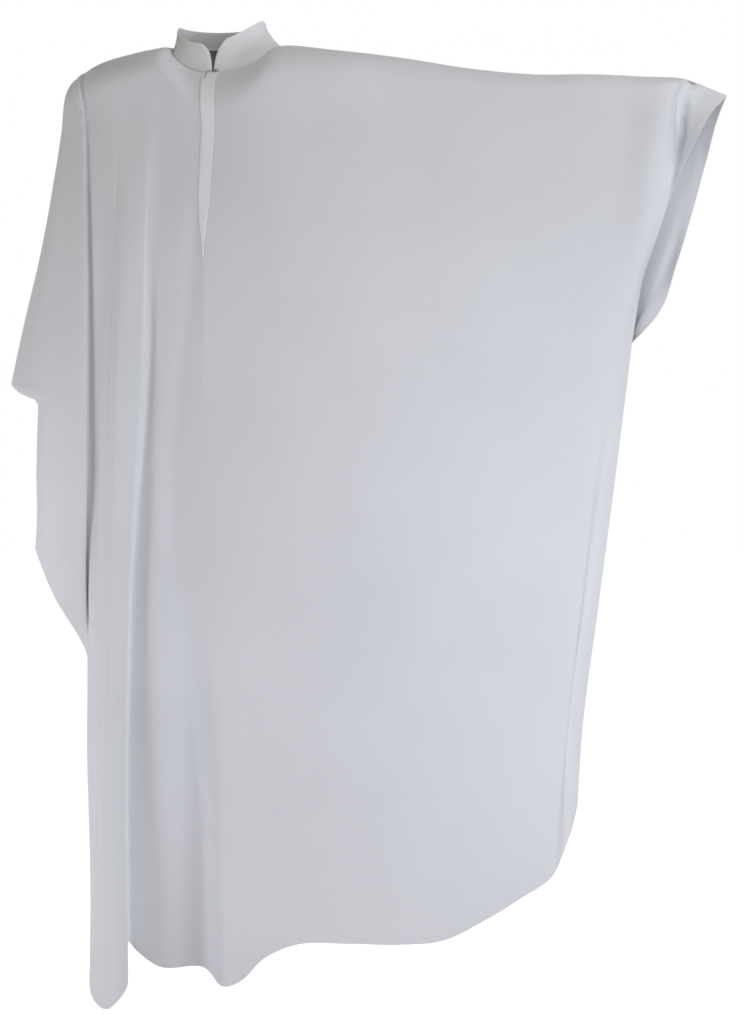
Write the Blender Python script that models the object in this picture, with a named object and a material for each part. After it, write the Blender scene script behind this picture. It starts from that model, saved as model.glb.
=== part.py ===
"""A wide alb: a full-length white vestment robe, worn with one arm raised and one arm lowered.

The robe faces -Y, +Z is up, and the wearer's left (the raised arm) is +X. The origin is the centre of the
neck at shoulder-neck height, where the wearer carries the robe. All sizes are in metres.

Front and back are one cloth width each. A panel is a loft: named lines run down the cloth (seams, folds and
hollows), every row of the loft crosses all the lines, and the wall is laid inside the outer surface.
"""
from collections import namedtuple

import bmesh
import bpy
import numpy as np

# ---- driving sizes -----------------------------------------------------------------------------------
CLOTH = 0.0016          # wall of a cloth panel
SEAM_GAP = 0.0003       # room between neighbouring pieces
BAND = 0.0018           # wall of the interlined collar band
COLLAR_RIM = (-0.0065, -0.002, 0.0715, 0.060)   # centre x, y and half sizes of the collar's upper edge
COLLAR_BACK_Z, COLLAR_FRONT_Z = 0.044, 0.003  # height of that edge at the back and at the front
SLIT_WIDTH = 0.003      # centre front slit
PLACKET_WIDTH = 0.023
PLACKET_WALL = 0.0012
PLACKET_GAP = 0.0005    # under the placket, which crosses the panel's facets
WIRE = 0.0009           # hook and eye

# Heights at which the lines of a panel are placed.
YOKE, CHEST, ELBOW, HIP, FLANK, THIGH, KNEE = -0.12, -0.30, -0.52, -0.75, -0.865, -0.96, -1.15
HEIGHTS = (YOKE, CHEST, ELBOW, HIP, FLANK, THIGH, KNEE)

# Depth of each row below the shoulder corner, down the wearer's right edge. The rows are close together
# over the shoulder, and one row each passes the cuff corners and the underarms.
ROWS = (0, 0.004, 0.014, 0.032, 0.058, 0.095, 0.145, 0.210, 0.284, 0.345, 0.40, 0.461, 0.488, 0.503, 0.518,
        0.565, 0.625, 0.69, 0.753, 0.80, 0.835, 0.865, 0.895, 0.94, 1.0, 1.07, 1.14, 1.21, 1.28, 1.348)
UNDERARM_LEFT_ROW = 11   # raised arm
CUFF_TOP_ROW = 12        # lowered arm
UNDERARM_RIGHT_ROW = 18
SLIT_END_ROW = 8
ROUND_STEPS = (28, 58)   # degrees of the two columns on the round of the lowered sleeve
SPLITS = (1, 1, 1) + (2,) * 5 + (3, 3, 3) + (2,) * 4 + (3, 3) + (3, 2, 1) + (2,) * 9   # columns from line to line

# ---- edges of the cloth: smooth runs of (z, x, y) ----------------------------------------------------
OVERARM_RIGHT = ((-0.028, -0.251, 0.0), (-0.049, -0.2585, 0.0), (-0.116, -0.271, 0.0), (-0.197, -0.287, 0.0),
                 (-0.309, -0.3085, -0.01), (-0.413, -0.334, -0.02), (-0.520, -0.359, -0.03))
SIDE_SEAM_RIGHT = ((-0.785, -0.314, -0.03), (-0.855, -0.284, -0.02), (-0.919, -0.249, -0.005),
                   (-0.965, -0.232, 0.01), (-1.10, -0.223, 0.03), (-1.25, -0.216, 0.035),
                   (-1.38, -0.205, 0.03))
SIDE_SEAM_LEFT = ((-0.477, 0.655, 0.0), (-0.62, 0.637, 0.0), (-0.85, 0.6065, 0.0), (-1.06, 0.579, 0.0),
                  (-1.1655, 0.572, 0.0))
FRONT_CUFF_RIGHT = (((-0.520, -0.359, -0.03), (-0.526, -0.346, -0.052), (-0.537, -0.323, -0.074),
                     (-0.550, -0.279, -0.10)),
                    ((-0.550, -0.279, -0.10), (-0.656, -0.287, -0.09), (-0.732, -0.297, -0.065),
                     (-0.785, -0.314, -0.03)))
BACK_CUFF_RIGHT = (((-0.520, -0.359, -0.03), (-0.526, -0.356, -0.010), (-0.537, -0.352, 0.014),
                    (-0.550, -0.343, 0.035)),
                   ((-0.550, -0.343, 0.035), (-0.656, -0.336, 0.045), (-0.732, -0.330, 0.015),
                    (-0.785, -0.314, -0.03)))
FRONT_CUFF_LEFT = ((-0.1194, 0.7960, 0.0), (-0.150, 0.778, -0.03), (-0.1835, 0.762, -0.043),
                   (-0.256, 0.728, -0.047), (-0.320, 0.703, -0.037), (-0.375, 0.680, -0.024),
                   (-0.477, 0.655, 0.0))
BACK_CUFF_LEFT = ((-0.1194, 0.7960, 0.0), (-0.142, 0.779, 0.030), (-0.193, 0.760, 0.050),
                  (-0.275, 0.735, 0.060), (-0.356, 0.712, 0.050), (-0.433, 0.687, 0.030),
                  (-0.477, 0.655, 0.0))

# ---- top of the cloth, one (x, y, z) for each line, from the lowered arm's shoulder to the raised cuff ----
SHOULDER_RIGHT = ((-0.242, 0, -0.0235), (-0.236, 0, -0.021), (-0.230, 0, -0.0182), (-0.223, 0, -0.015),
                  (-0.2145, 0, -0.0118), (-0.203, 0, -0.0085), (-0.188, 0, -0.0045), (-0.168, 0, 0.0005),
                  (-0.148, 0, 0.0045), (-0.130, 0, 0.0082), (-0.111, 0, 0.011), (-0.091, 0, 0.0128))
NECK_FRONT = ((-0.072, -0.038, -0.008), (-0.036, -0.060, -0.034), (0.008, -0.069, -0.0465),
              (0.050, -0.058, -0.039), (0.080, -0.034, -0.020))
NECK_BACK = ((-0.070, 0.036, 0.016), (-0.038, 0.058, 0.018), (0.004, 0.066, 0.018),
             (0.045, 0.057, 0.014), (0.078, 0.034, 0.008))
ARM_LEFT = ((0.0955, 0, 0.001), (0.200, 0, -0.014), (0.305, 0, -0.032), (0.410, 0, -0.0545),
            (0.510, 0, -0.070), (0.600, 0, -0.076), (0.665, 0, -0.083))
NECK_SIDE_RIGHT, CENTRE, NECK_SIDE_LEFT = 14, 17, 20   # numbers of lines, the right edge being 0

# ---- lines down the cloth ----------------------------------------------------------------------------
# roll is the depth over which a line rolls forward off the shoulder or arm, and bend the power of that
# curve (0.5 is a quarter circle). Then come (x, y) at the seven heights, and (x, y, z) at the hem.
Line = namedtuple("Line", "name roll bend yoke chest elbow hip flank thigh knee hem")

FRONT_LINES = (
    Line("sleeve_front", 0.09, 0.5, (-0.234, -0.080), (-0.230, -0.102), (-0.234, -0.116),
         (-0.246, -0.102), (-0.246, -0.078), (-0.232, -0.022),
         (-0.232, -0.018), (-0.213, -0.005, -1.400)),
    Line("sleeve_fold", 0.09, 0.5, (-0.203, -0.098), (-0.184, -0.1202), (-0.1804, -0.1274),
         (-0.1856, -0.1186), (-0.1981, -0.0955), (-0.2235, -0.041),
         (-0.2255, -0.037), (-0.2105, -0.027, -1.402)),
    Line("sleeve_side", 0.09, 0.5, (-0.204, -0.092), (-0.1924, -0.1115), (-0.1893, -0.1189),
         (-0.1938, -0.1089), (-0.2033, -0.0804), (-0.2125, -0.052),
         (-0.2135, -0.057), (-0.204, -0.048, -1.403)),
    Line("armpit_hollow", 0.09, 0.5, (-0.194, -0.092), (-0.187, -0.1085), (-0.1859, -0.1113),
         (-0.1894, -0.1019), (-0.1953, -0.0753), (-0.2035, -0.064),
         (-0.2065, -0.069), (-0.199, -0.061, -1.402)),
    Line("side_of_chest", 0.09, 0.5, (-0.178, -0.100), (-0.1716, -0.1114), (-0.1716, -0.1114),
         (-0.1775, -0.105), (-0.1843, -0.0884), (-0.1919, -0.0869),
         (-0.1987, -0.0872), (-0.194, -0.073, -1.403)),
    Line("side_strip", 0.09, 0.5, (-0.158, -0.111), (-0.151, -0.119), (-0.1545, -0.118),
         (-0.1615, -0.1184), (-0.1657, -0.1178), (-0.1679, -0.1186),
         (-0.1699, -0.1214), (-0.181, -0.115, -1.467)),
    Line("side_crease", 0.09, 0.5, (-0.134, -0.118), (-0.128, -0.129), (-0.1341, -0.1297),
         (-0.1365, -0.1348), (-0.1377, -0.1353), (-0.1403, -0.1362),
         (-0.1435, -0.1395), (-0.158, -0.138, -1.486)),
    Line("long_fold", 0.09, 0.55, (-0.106, -0.122), (-0.094, -0.142), (-0.1042, -0.1507),
         (-0.1074, -0.1551), (-0.1087, -0.1577), (-0.1086, -0.1598),
         (-0.1102, -0.1646), (-0.105, -0.176, -1.482)),
    Line("long_fold_edge", 0.09, 0.6, (-0.078, -0.127), (-0.064, -0.140), (-0.069, -0.142),
         (-0.0818, -0.1468), (-0.085, -0.1501), (-0.0861, -0.1526),
         (-0.088, -0.1571), (-0.086, -0.168, -1.450)),
    Line("fold_side", 0.09, 0.65, (-0.066, -0.128), (-0.056, -0.136), (-0.067, -0.132),
         (-0.0893, -0.1378), (-0.0949, -0.1388), (-0.0975, -0.1398),
         (-0.1011, -0.1411), (-0.1056, -0.1406, -1.405)),
    Line("long_hollow", 0.09, 0.7, (-0.055, -0.128), (-0.045, -0.134), (-0.062, -0.124),
         (-0.0898, -0.1284), (-0.0962, -0.1286), (-0.0999, -0.1279),
         (-0.1046, -0.1275), (-0.1113, -0.1214, -1.389)),
    Line("hollow_wall", 0.1, 0.7, (-0.042, -0.129), (-0.032, -0.138), (-0.048, -0.130),
         (-0.0705, -0.130), (-0.0751, -0.1306), (-0.0783, -0.1296),
         (-0.0825, -0.1279), (-0.0873, -0.1233, -1.404)),
    Line("chest_flat", 0.11, 0.75, (-0.018, -0.130), (-0.009, -0.143), (-0.027, -0.138),
         (-0.0431, -0.1338), (-0.0474, -0.1343), (-0.050, -0.1321),
         (-0.052, -0.1286), (-0.055, -0.1205, -1.426)),
    Line("soft_valley", 0.11, 0.75, (0.006, -0.130), (0.006, -0.143), (-0.012, -0.135),
         (-0.022, -0.130), (-0.016, -0.127), (-0.008, -0.124),
         (0.004, -0.117), (0.008, -0.112, -1.422)),
    Line("centre_front", 0.11, 0.75, (0.029, -0.130), (0.027, -0.146), (0.033, -0.151),
         (0.040, -0.151), (0.046, -0.152), (0.052, -0.153),
         (0.062, -0.157), (0.071, -0.166, -1.438)),
    Line("centre_left", 0.11, 0.75, (0.068, -0.129), (0.070, -0.147), (0.082, -0.152),
         (0.096, -0.152), (0.102, -0.152), (0.107, -0.151),
         (0.116, -0.149), (0.095, -0.158, -1.429)),
    Line("neck_left", 0.11, 0.75, (0.098, -0.126), (0.110, -0.145), (0.124, -0.151),
         (0.136, -0.149), (0.141, -0.148), (0.144, -0.147),
         (0.150, -0.144), (0.128, -0.147, -1.395)),
    Line("shoulder_left", 0.1, 0.7, (0.136, -0.119), (0.148, -0.142), (0.160, -0.148),
         (0.172, -0.146), (0.176, -0.145), (0.179, -0.143),
         (0.185, -0.139), (0.178, -0.135, -1.373)),
)
BACK_LINES = (
    Line("sleeve_back", 0.09, 0.5, (-0.262, 0.070), (-0.275, 0.075), (-0.302, 0.072),
         (-0.276, 0.048), (-0.255, 0.054), (-0.241, 0.064),
         (-0.237, 0.084), (-0.213, 0.078, -1.393)),
    Line("sleeve_back_fold", 0.09, 0.5, (-0.240, 0.095), (-0.240, 0.105), (-0.252, 0.110),
         (-0.242, 0.095), (-0.239, 0.095), (-0.238, 0.098),
         (-0.240, 0.112), (-0.215, 0.108, -1.398)),
    Line("sleeve_back_side", 0.09, 0.5, (-0.226, 0.097), (-0.222, 0.096), (-0.228, 0.092),
         (-0.222, 0.084), (-0.222, 0.088), (-0.222, 0.093),
         (-0.224, 0.106), (-0.204, 0.104, -1.399)),
    Line("back_armpit", 0.09, 0.5, (-0.211, 0.095), (-0.206, 0.080), (-0.207, 0.070),
         (-0.205, 0.070), (-0.204, 0.077), (-0.204, 0.084),
         (-0.206, 0.097), (-0.191, 0.098, -1.400)),
    Line("back_flank", 0.09, 0.5, (-0.190, 0.101), (-0.183, 0.097), (-0.180, 0.090),
         (-0.182, 0.092), (-0.182, 0.098), (-0.182, 0.104),
         (-0.182, 0.116), (-0.173, 0.118, -1.403)),
    Line("fold_a_side", 0.09, 0.5, (-0.172, 0.107), (-0.163, 0.112), (-0.160, 0.112),
         (-0.162, 0.120), (-0.163, 0.128), (-0.164, 0.135),
         (-0.166, 0.148), (-0.161, 0.152, -1.410)),
    Line("fold_a", 0.09, 0.5, (-0.155, 0.111), (-0.146, 0.121), (-0.142, 0.126),
         (-0.143, 0.137), (-0.144, 0.145), (-0.145, 0.151),
         (-0.146, 0.163), (-0.143, 0.166, -1.412)),
    Line("fold_a_fall", 0.09, 0.55, (-0.137, 0.113), (-0.127, 0.121), (-0.122, 0.122),
         (-0.121, 0.129), (-0.121, 0.134), (-0.121, 0.139),
         (-0.121, 0.147), (-0.119, 0.151, -1.410)),
    Line("valley_a", 0.09, 0.6, (-0.118, 0.115), (-0.108, 0.120), (-0.102, 0.118),
         (-0.099, 0.121), (-0.098, 0.124), (-0.097, 0.126),
         (-0.096, 0.130), (-0.094, 0.134, -1.410)),
    Line("fold_b_rise", 0.09, 0.65, (-0.099, 0.117), (-0.089, 0.123), (-0.082, 0.123),
         (-0.078, 0.127), (-0.076, 0.130), (-0.075, 0.132),
         (-0.073, 0.137), (-0.071, 0.142, -1.411)),
    Line("fold_b", 0.09, 0.7, (-0.080, 0.119), (-0.069, 0.128), (-0.062, 0.128),
         (-0.057, 0.136), (-0.055, 0.140), (-0.053, 0.144),
         (-0.050, 0.150), (-0.047, 0.156, -1.413)),
    Line("fold_b_fall", 0.1, 0.7, (-0.061, 0.120), (-0.049, 0.129), (-0.041, 0.131),
         (-0.035, 0.136), (-0.032, 0.139), (-0.030, 0.142),
         (-0.026, 0.147), (-0.023, 0.152, -1.412)),
    Line("valley_b", 0.11, 0.75, (-0.040, 0.120), (-0.026, 0.129), (-0.016, 0.130),
         (-0.008, 0.134), (-0.005, 0.137), (-0.002, 0.139),
         (0.003, 0.143), (0.007, 0.147, -1.409)),
    Line("fold_c", 0.11, 0.75, (-0.016, 0.120), (0.000, 0.131), (0.012, 0.136),
         (0.022, 0.145), (0.026, 0.150), (0.029, 0.154),
         (0.035, 0.161), (0.039, 0.165, -1.408)),
    Line("centre_back", 0.11, 0.75, (0.010, 0.119), (0.028, 0.130), (0.041, 0.135),
         (0.052, 0.142), (0.057, 0.146), (0.060, 0.149),
         (0.066, 0.155), (0.070, 0.161, -1.408)),
    Line("back_left", 0.11, 0.75, (0.048, 0.116), (0.066, 0.127), (0.079, 0.131),
         (0.091, 0.135), (0.096, 0.137), (0.099, 0.139),
         (0.105, 0.143), (0.109, 0.147, -1.401)),
    Line("back_neck_left", 0.11, 0.75, (0.088, 0.111), (0.106, 0.123), (0.119, 0.128),
         (0.131, 0.133), (0.136, 0.136), (0.139, 0.139),
         (0.145, 0.144), (0.149, 0.149, -1.396)),
    Line("back_shoulder_left", 0.1, 0.7, (0.128, 0.104), (0.146, 0.117), (0.158, 0.122),
         (0.170, 0.126), (0.175, 0.128), (0.178, 0.129),
         (0.184, 0.132), (0.188, 0.136, -1.389)),
)

# Lines that hang straight from the raised arm: y at the seven heights, and (x, y, z) at the hem.
Hang = namedtuple("Hang", "name roll yoke chest elbow hip flank thigh knee hem")

FRONT_HANGS = (
    Hang("upper_arm_a", 0.08, -0.100, -0.130, -0.137, -0.137, -0.136, -0.134, -0.129, (0.255, -0.124, -1.369)),
    Hang("upper_arm_b", 0.07, -0.077, -0.108, -0.118, -0.120, -0.119, -0.118, -0.114, (0.330, -0.110, -1.368)),
    Hang("elbow", 0.06, -0.064, -0.084, -0.094, -0.098, -0.099, -0.099, -0.096, (0.392, -0.092, -1.361)),
    Hang("forearm_a", 0.055, -0.058, -0.068, -0.072, -0.076, -0.078, -0.079, -0.078, (0.450, -0.074, -1.331)),
    Hang("forearm_b", 0.05, -0.054, -0.058, -0.052, -0.054, -0.056, -0.057, -0.057, (0.502, -0.055, -1.297)),
    Hang("forearm_c", 0.05, -0.052, -0.055, -0.034, -0.034, -0.035, -0.036, -0.036, (0.541, -0.036, -1.268)),
)
BACK_HANGS = (
    Hang("upper_arm_a", 0.08, 0.088, 0.104, 0.110, 0.114, 0.115, 0.116, 0.118, (0.255, 0.120, -1.380)),
    Hang("upper_arm_b", 0.07, 0.074, 0.090, 0.098, 0.102, 0.103, 0.104, 0.106, (0.330, 0.108, -1.375)),
    Hang("elbow", 0.06, 0.062, 0.074, 0.082, 0.086, 0.087, 0.087, 0.088, (0.392, 0.088, -1.365)),
    Hang("forearm_a", 0.055, 0.056, 0.060, 0.064, 0.066, 0.066, 0.066, 0.066, (0.450, 0.066, -1.326)),
    Hang("forearm_b", 0.05, 0.053, 0.056, 0.044, 0.045, 0.046, 0.046, 0.046, (0.500, 0.045, -1.286)),
    Hang("forearm_c", 0.05, 0.052, 0.058, 0.026, 0.027, 0.028, 0.028, 0.028, (0.530, 0.028, -1.248)),
)

# The last two lines before the raised cuff and the side seam below it, as (z, x, y).
FRONT_CUFF_LINES = (
    ((-0.0903, 0.7314, 0.0), (-0.098, 0.730, -0.028), (-0.1266, 0.7245, -0.050), (-0.180, 0.716, -0.060),
     (-0.228, 0.704, -0.060), (-0.300, 0.694, -0.058), (-0.374, 0.676, -0.042), (-0.477, 0.6435, -0.016),
     (-0.53, 0.634, -0.018), (-0.62, 0.620, -0.018), (-0.85, 0.589, -0.020), (-1.06, 0.561, -0.020), (-1.2315, 0.5545, -0.014)),
    ((-0.0991, 0.7536, 0.0), (-0.112, 0.744, -0.012), (-0.140, 0.736, -0.020), (-0.180, 0.733, -0.024),
     (-0.225, 0.7265, -0.037), (-0.256, 0.7195, -0.047), (-0.320, 0.697, -0.046), (-0.375, 0.679, -0.034),
     (-0.477, 0.6495, -0.009), (-0.53, 0.642, -0.010), (-0.62, 0.6295, -0.010), (-0.85, 0.599, -0.011), (-1.06, 0.571, -0.011),
     (-1.196, 0.566, -0.006)),
)
BACK_CUFF_LINES = (
    ((-0.0903, 0.7314, 0.0), (-0.098, 0.731, 0.025), (-0.130, 0.728, 0.048), (-0.193, 0.722, 0.058),
     (-0.275, 0.705, 0.066), (-0.374, 0.678, 0.048), (-0.477, 0.6435, 0.017), (-0.53, 0.634, 0.016), (-0.62, 0.620, 0.016),
     (-0.85, 0.587, 0.014), (-1.06, 0.558, 0.014), (-1.2180, 0.547, 0.011)),
    ((-0.0991, 0.7536, 0.0), (-0.107, 0.752, 0.022), (-0.136, 0.748, 0.044), (-0.193, 0.741, 0.055),
     (-0.275, 0.720, 0.064), (-0.374, 0.692, 0.050), (-0.477, 0.6495, 0.010), (-0.53, 0.642, 0.010), (-0.62, 0.6295, 0.010),
     (-0.85, 0.597, 0.009), (-1.06, 0.568, 0.008), (-1.190, 0.561, 0.004)),
)


# ---- curves ------------------------------------------------------------------------------------------
def curve(knots, points, at):
    """A smooth curve through the points, read at one knot value."""
    points = np.asarray(points, float)
    slopes = np.gradient(points, knots, axis=0)
    i = int(np.clip(np.searchsorted(knots, at) - 1, 0, len(knots) - 2))
    step = knots[i + 1] - knots[i]
    s = np.clip((at - knots[i]) / step, 0.0, 1.0)
    return ((2 * s**3 - 3 * s**2 + 1) * points[i] + (s**3 - 2 * s**2 + s) * step * slopes[i]
            + (3 * s**2 - 2 * s**3) * points[i + 1] + (s**3 - s**2) * step * slopes[i + 1])


def down(run, z):
    """(x, y, z) on a run of (z, x, y) points."""
    run = np.asarray(run, float)
    x, y = curve(-run[:, 0], run[:, 1:], -z)
    return np.array((x, y, z))


def down_edge(runs, z):
    """(x, y, z) on an edge made of several smooth runs that meet at corners."""
    for run in runs:
        if z >= run[-1][0] - 1e-9:
            break
    return down(run, z)


def down_line(line, top, z):
    """(x, y, z) on a named line that rolls off its top point and then passes its seven heights."""
    levels = [(-height, *place) for height, place in zip(HEIGHTS, line[3:10])]
    levels.append((-line.hem[2], line.hem[0], line.hem[1]))
    levels = np.array(levels)
    x, y = curve(levels[:, 0], levels[:, 1:], -z)
    fall = top[2] - z
    rolled = 1 - min(fall / line.roll, 1.0)
    settled = min(fall / max(top[2] - YOKE, line.roll), 1.0)
    x = top[0] + (x - top[0]) * settled * (2 - settled)
    y = top[1] + (y - top[1]) * (1 - rolled**2) ** line.bend
    return np.array((x, y, z))


def hung_line(hang, top):
    """The line that hangs straight from a point of the raised arm to the hem."""
    places = []
    for height, y in zip(HEIGHTS, hang[2:9]):
        share = max((height - top[2]) / (hang.hem[2] - top[2]), 0.0)
        places.append((top[0] + (hang.hem[0] - top[0]) * share, y))
    return Line(hang.name, hang.roll, 0.5, *places, hang.hem)


# ---- panels ------------------------------------------------------------------------------------------
def round_sleeve(edge, line):
    """Points on a quarter ellipse from the edge of the lowered sleeve to the first line of the panel."""
    points = []
    for degrees in ROUND_STEPS:
        angle = np.radians(degrees)
        points.append(np.array((line[0] + (edge[0] - line[0]) * np.cos(angle),
                                edge[1] + (line[1] - edge[1]) * np.sin(angle),
                                edge[2] + (line[2] - edge[2]) * degrees / 90)))
    return points


def panel_grid(lines, hangs, cuff_lines, neck, cuff_right, cuff_left):
    """Outer surface of a panel as rows x columns x (x, y, z)."""
    tops = SHOULDER_RIGHT + neck + ARM_LEFT
    named = list(lines) + [hung_line(h, tops[len(lines) + i]) for i, h in enumerate(hangs)]
    edge_right = (OVERARM_RIGHT, *cuff_right, SIDE_SEAM_RIGHT)
    edge_left = (cuff_left, SIDE_SEAM_LEFT)
    grid = []
    for depth in ROWS:
        v = depth / ROWS[-1]
        edge = down_edge(edge_right, OVERARM_RIGHT[0][0] + v * (SIDE_SEAM_RIGHT[-1][0] - OVERARM_RIGHT[0][0]))
        row = [down_line(line, top, top[2] + v * (line.hem[2] - top[2])) for line, top in zip(named, tops)]
        row = [edge] + round_sleeve(edge, row[0]) + row
        for run in cuff_lines:
            row.append(down(run, run[0][0] + v * (run[-1][0] - run[0][0])))
        row.append(down_edge(edge_left, cuff_left[0][0] + v * (SIDE_SEAM_LEFT[-1][0] - cuff_left[0][0])))
        row = np.array(row)
        knots = np.concatenate(([0.0], np.cumsum(np.linalg.norm(np.diff(row, axis=0), axis=1) ** 0.5)))
        ends = (0, NECK_SIDE_RIGHT, NECK_SIDE_LEFT, len(row) - 1) if depth == 0 else (0, len(row) - 1)
        points = []
        for first, last in zip(ends, ends[1:]):
            run = slice(first, last + 1)
            for i in range(first, last):
                for k in range(SPLITS[i]):
                    place = knots[i] + (knots[i + 1] - knots[i]) * k / SPLITS[i]
                    points.append(curve(knots[run], row[run], place))
        grid.append(points + [row[-1]])
    return np.array(grid)


def column(line):
    """Column of the grid on which a line lies."""
    return sum(SPLITS[:line])


def unit(vectors):
    return vectors / np.maximum(np.linalg.norm(vectors, axis=-1, keepdims=True), 1e-12)


def outward(grid, side):
    """Normals of a grid, the mean of those of the cells round each point; side is -1 for a front."""
    cells = unit(np.cross(grid[:-1, 1:] - grid[1:, :-1], grid[1:, 1:] - grid[:-1, :-1]))
    total = np.zeros_like(grid)
    for rows in (slice(None, -1), slice(1, None)):
        for columns in (slice(None, -1), slice(1, None)):
            total[rows, columns] += cells
    return unit(total) * side


def seam_cells(grid):
    """(row, column, inner row, inner column) of each grid point where front and back are sewn together."""
    rows, columns = grid.shape[0] - 1, grid.shape[1] - 1
    cells = [(r, 0, r, 1) for r in range(1, rows + 1) if r <= CUFF_TOP_ROW or r >= UNDERARM_RIGHT_ROW]
    cells += [(r, columns, r, columns - 1) for r in range(UNDERARM_LEFT_ROW, rows + 1)]
    cells += [(0, c, 1, c) for c in range(columns + 1)
              if c <= column(NECK_SIDE_RIGHT) or c >= column(NECK_SIDE_LEFT)]
    return cells


def sew(front, back):
    """Give both panels one normal along their seams and part them there by the seam gap."""
    front_normals, back_normals = outward(front, -1), outward(back, 1)
    moves = []
    for r, c, inner_r, inner_c in seam_cells(front):
        into_front = unit(front[inner_r, inner_c] - front[r, c])
        into_back = unit(back[inner_r, inner_c] - back[r, c])
        shared = unit(front_normals[r, c] + back_normals[r, c] - into_front - into_back)
        front_normals[r, c] = back_normals[r, c] = shared
        moves.append((r, c, unit(into_front - into_back) * SEAM_GAP / 2))
    for r, c, move in moves:
        front[r, c] += move
        back[r, c] -= move
    return front_normals, back_normals


def new_piece(name, points, faces, material):
    mesh = bpy.data.meshes.new(name)
    mesh.from_pydata([tuple(p) for p in points], [], faces)
    mesh.validate()
    mesh.materials.append(material)
    piece = bpy.data.objects.new(name, mesh)
    ROBE.objects.link(piece)
    mesh.shade_smooth()
    mesh.set_sharp_from_angle(angle=0.9)
    return piece


def cloth_wall(name, outer, inner, quads, material):
    """A closed wall between two copies of an open sheet; quads are point numbers seen from outside."""
    count = len(outer)
    faces = [tuple(q) for q in quads] + [tuple(count + i for i in reversed(q)) for q in quads]
    edges = {(q[i], q[(i + 1) % len(q)]) for q in quads for i in range(len(q))}
    faces += [(b, a, count + a, count + b) for a, b in sorted(edges) if (b, a) not in edges]
    return new_piece(name, list(outer) + list(inner), faces, material)


def grid_quads(rows, columns, number, side):
    """Quads of a grid facing outward; number(row, column, cell column) gives a point number."""
    quads = []
    for r in range(rows - 1):
        for c in range(columns - 1):
            quad = (number(r, c, c), number(r + 1, c, c), number(r + 1, c + 1, c), number(r, c + 1, c))
            quads.append(quad if side < 0 else quad[::-1])
    return quads


def make_panel(name, grid, normals, side, material, slit=False):
    rows, columns = grid.shape[:2]
    outer = list(grid.reshape(-1, 3))
    normal = list(normals.reshape(-1, 3))
    split = {}
    if slit:
        middle = column(CENTRE)
        for r in range(SLIT_END_ROW):
            aside = unit(grid[r, middle + 1] - grid[r, middle - 1]) * SLIT_WIDTH / 2
            split[r] = len(outer)
            outer.append(grid[r, middle] + aside)
            normal.append(normals[r, middle])
            outer[r * columns + middle] = grid[r, middle] - aside

    def number(r, c, cell):
        if r in split and c == middle and cell >= middle:
            return split[r]
        return r * columns + c

    inner = [p - n * CLOTH for p, n in zip(outer, normal)]
    return cloth_wall(name, outer, inner, grid_quads(rows, columns, number, side), material)


# ---- placket, collar, hook and eye -------------------------------------------------------------------
def along_row(points, start, distance):
    """The point at a signed distance along a row of points from the one numbered start, and its place."""
    step = 1 if distance > 0 else -1
    left, i = abs(distance), start
    while True:
        span = np.linalg.norm(points[i + step] - points[i])
        if left <= span:
            return i + step * left / span
        left, i = left - span, i + step


def between(rows, place):
    """Rows read at a fractional place."""
    i = int(np.floor(place))
    return rows[i] + (rows[min(i + 1, len(rows) - 1)] - rows[i]) * (place - i)


def placket_sheet(grid, normals):
    """Outer surface of the strip over the slit, the panel's own points moved out, with its normals."""
    middle = column(CENTRE)
    points, directions = [], []
    for r in range(SLIT_END_ROW + 1):
        width = PLACKET_WIDTH if r < SLIT_END_ROW else PLACKET_WIDTH * 0.12
        places = [along_row(grid[r], middle, part * width) if part else middle
                  for part in (-0.5, -0.25, 0.0, 0.25, 0.5)]
        directions.append([unit(between(normals[r], place)) for place in places])
        points.append([between(grid[r], place) for place in places])
    directions = np.array(directions)
    return np.array(points) + directions * (PLACKET_GAP + PLACKET_WALL), directions


def make_placket(points, directions, material):
    rows, columns = points.shape[:2]
    inner = points - directions * PLACKET_WALL
    quads = grid_quads(rows, columns, lambda r, c, cell: r * columns + c, -1)
    return cloth_wall("placket", points.reshape(-1, 3), inner.reshape(-1, 3), quads, material)


def make_collar(front, back, material):
    """A band that stands on the neckline, its ends rounded and open at the centre front."""
    right, centre, left = column(NECK_SIDE_RIGHT), column(CENTRE), column(NECK_SIDE_LEFT)
    base = np.concatenate((front[0, right:centre + 1][::-1], back[0, right + 1:left], front[0, centre:left + 1][::-1]))
    x, y, half_x, half_y = COLLAR_RIM
    inward = unit(np.array((x, y, 0.0)) - base * (1, 1, 0))
    base = base + (inward + (0, 0, 1)) * SEAM_GAP
    angle = np.arctan2((base[:, 1] - y) / half_y, (base[:, 0] - x) / half_x)
    front_share = np.maximum(-np.sin(angle), 0) ** 1.5
    rim = np.stack((x + half_x * np.cos(angle), y + half_y * np.sin(angle),
                    COLLAR_BACK_Z + (COLLAR_FRONT_Z - COLLAR_BACK_Z) * front_share), axis=1)
    length = np.concatenate(([0.0], np.cumsum(np.linalg.norm(np.diff(base, axis=0), axis=1))))
    stands = (0.0, 0.15, 0.35, 0.55, 0.72, 0.84, 0.93, 0.98, 1.0)
    outer, normals = [], []
    for stand in stands:
        end = 0.0008 + 0.006 * stand + 0.018 * stand**5
        for share in length / length[-1]:
            at = end + (length[-1] - 2 * end) * share
            low, high, turn = (np.array([np.interp(at, length, line[:, k]) for k in range(3)])
                               for line in (base, rim, inward))
            lean = 1 - (1 - stand) ** 1.6
            outer.append(low + (high - low) * (lean, lean, stand))
            normals.append(-unit(turn))
    columns = len(base)
    inner = [p - n * BAND for p, n in zip(outer, normals)]
    quads = grid_quads(len(stands), columns, lambda r, c, cell: r * columns + c, -1)
    return cloth_wall("collar", outer, inner, quads, material)


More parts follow.
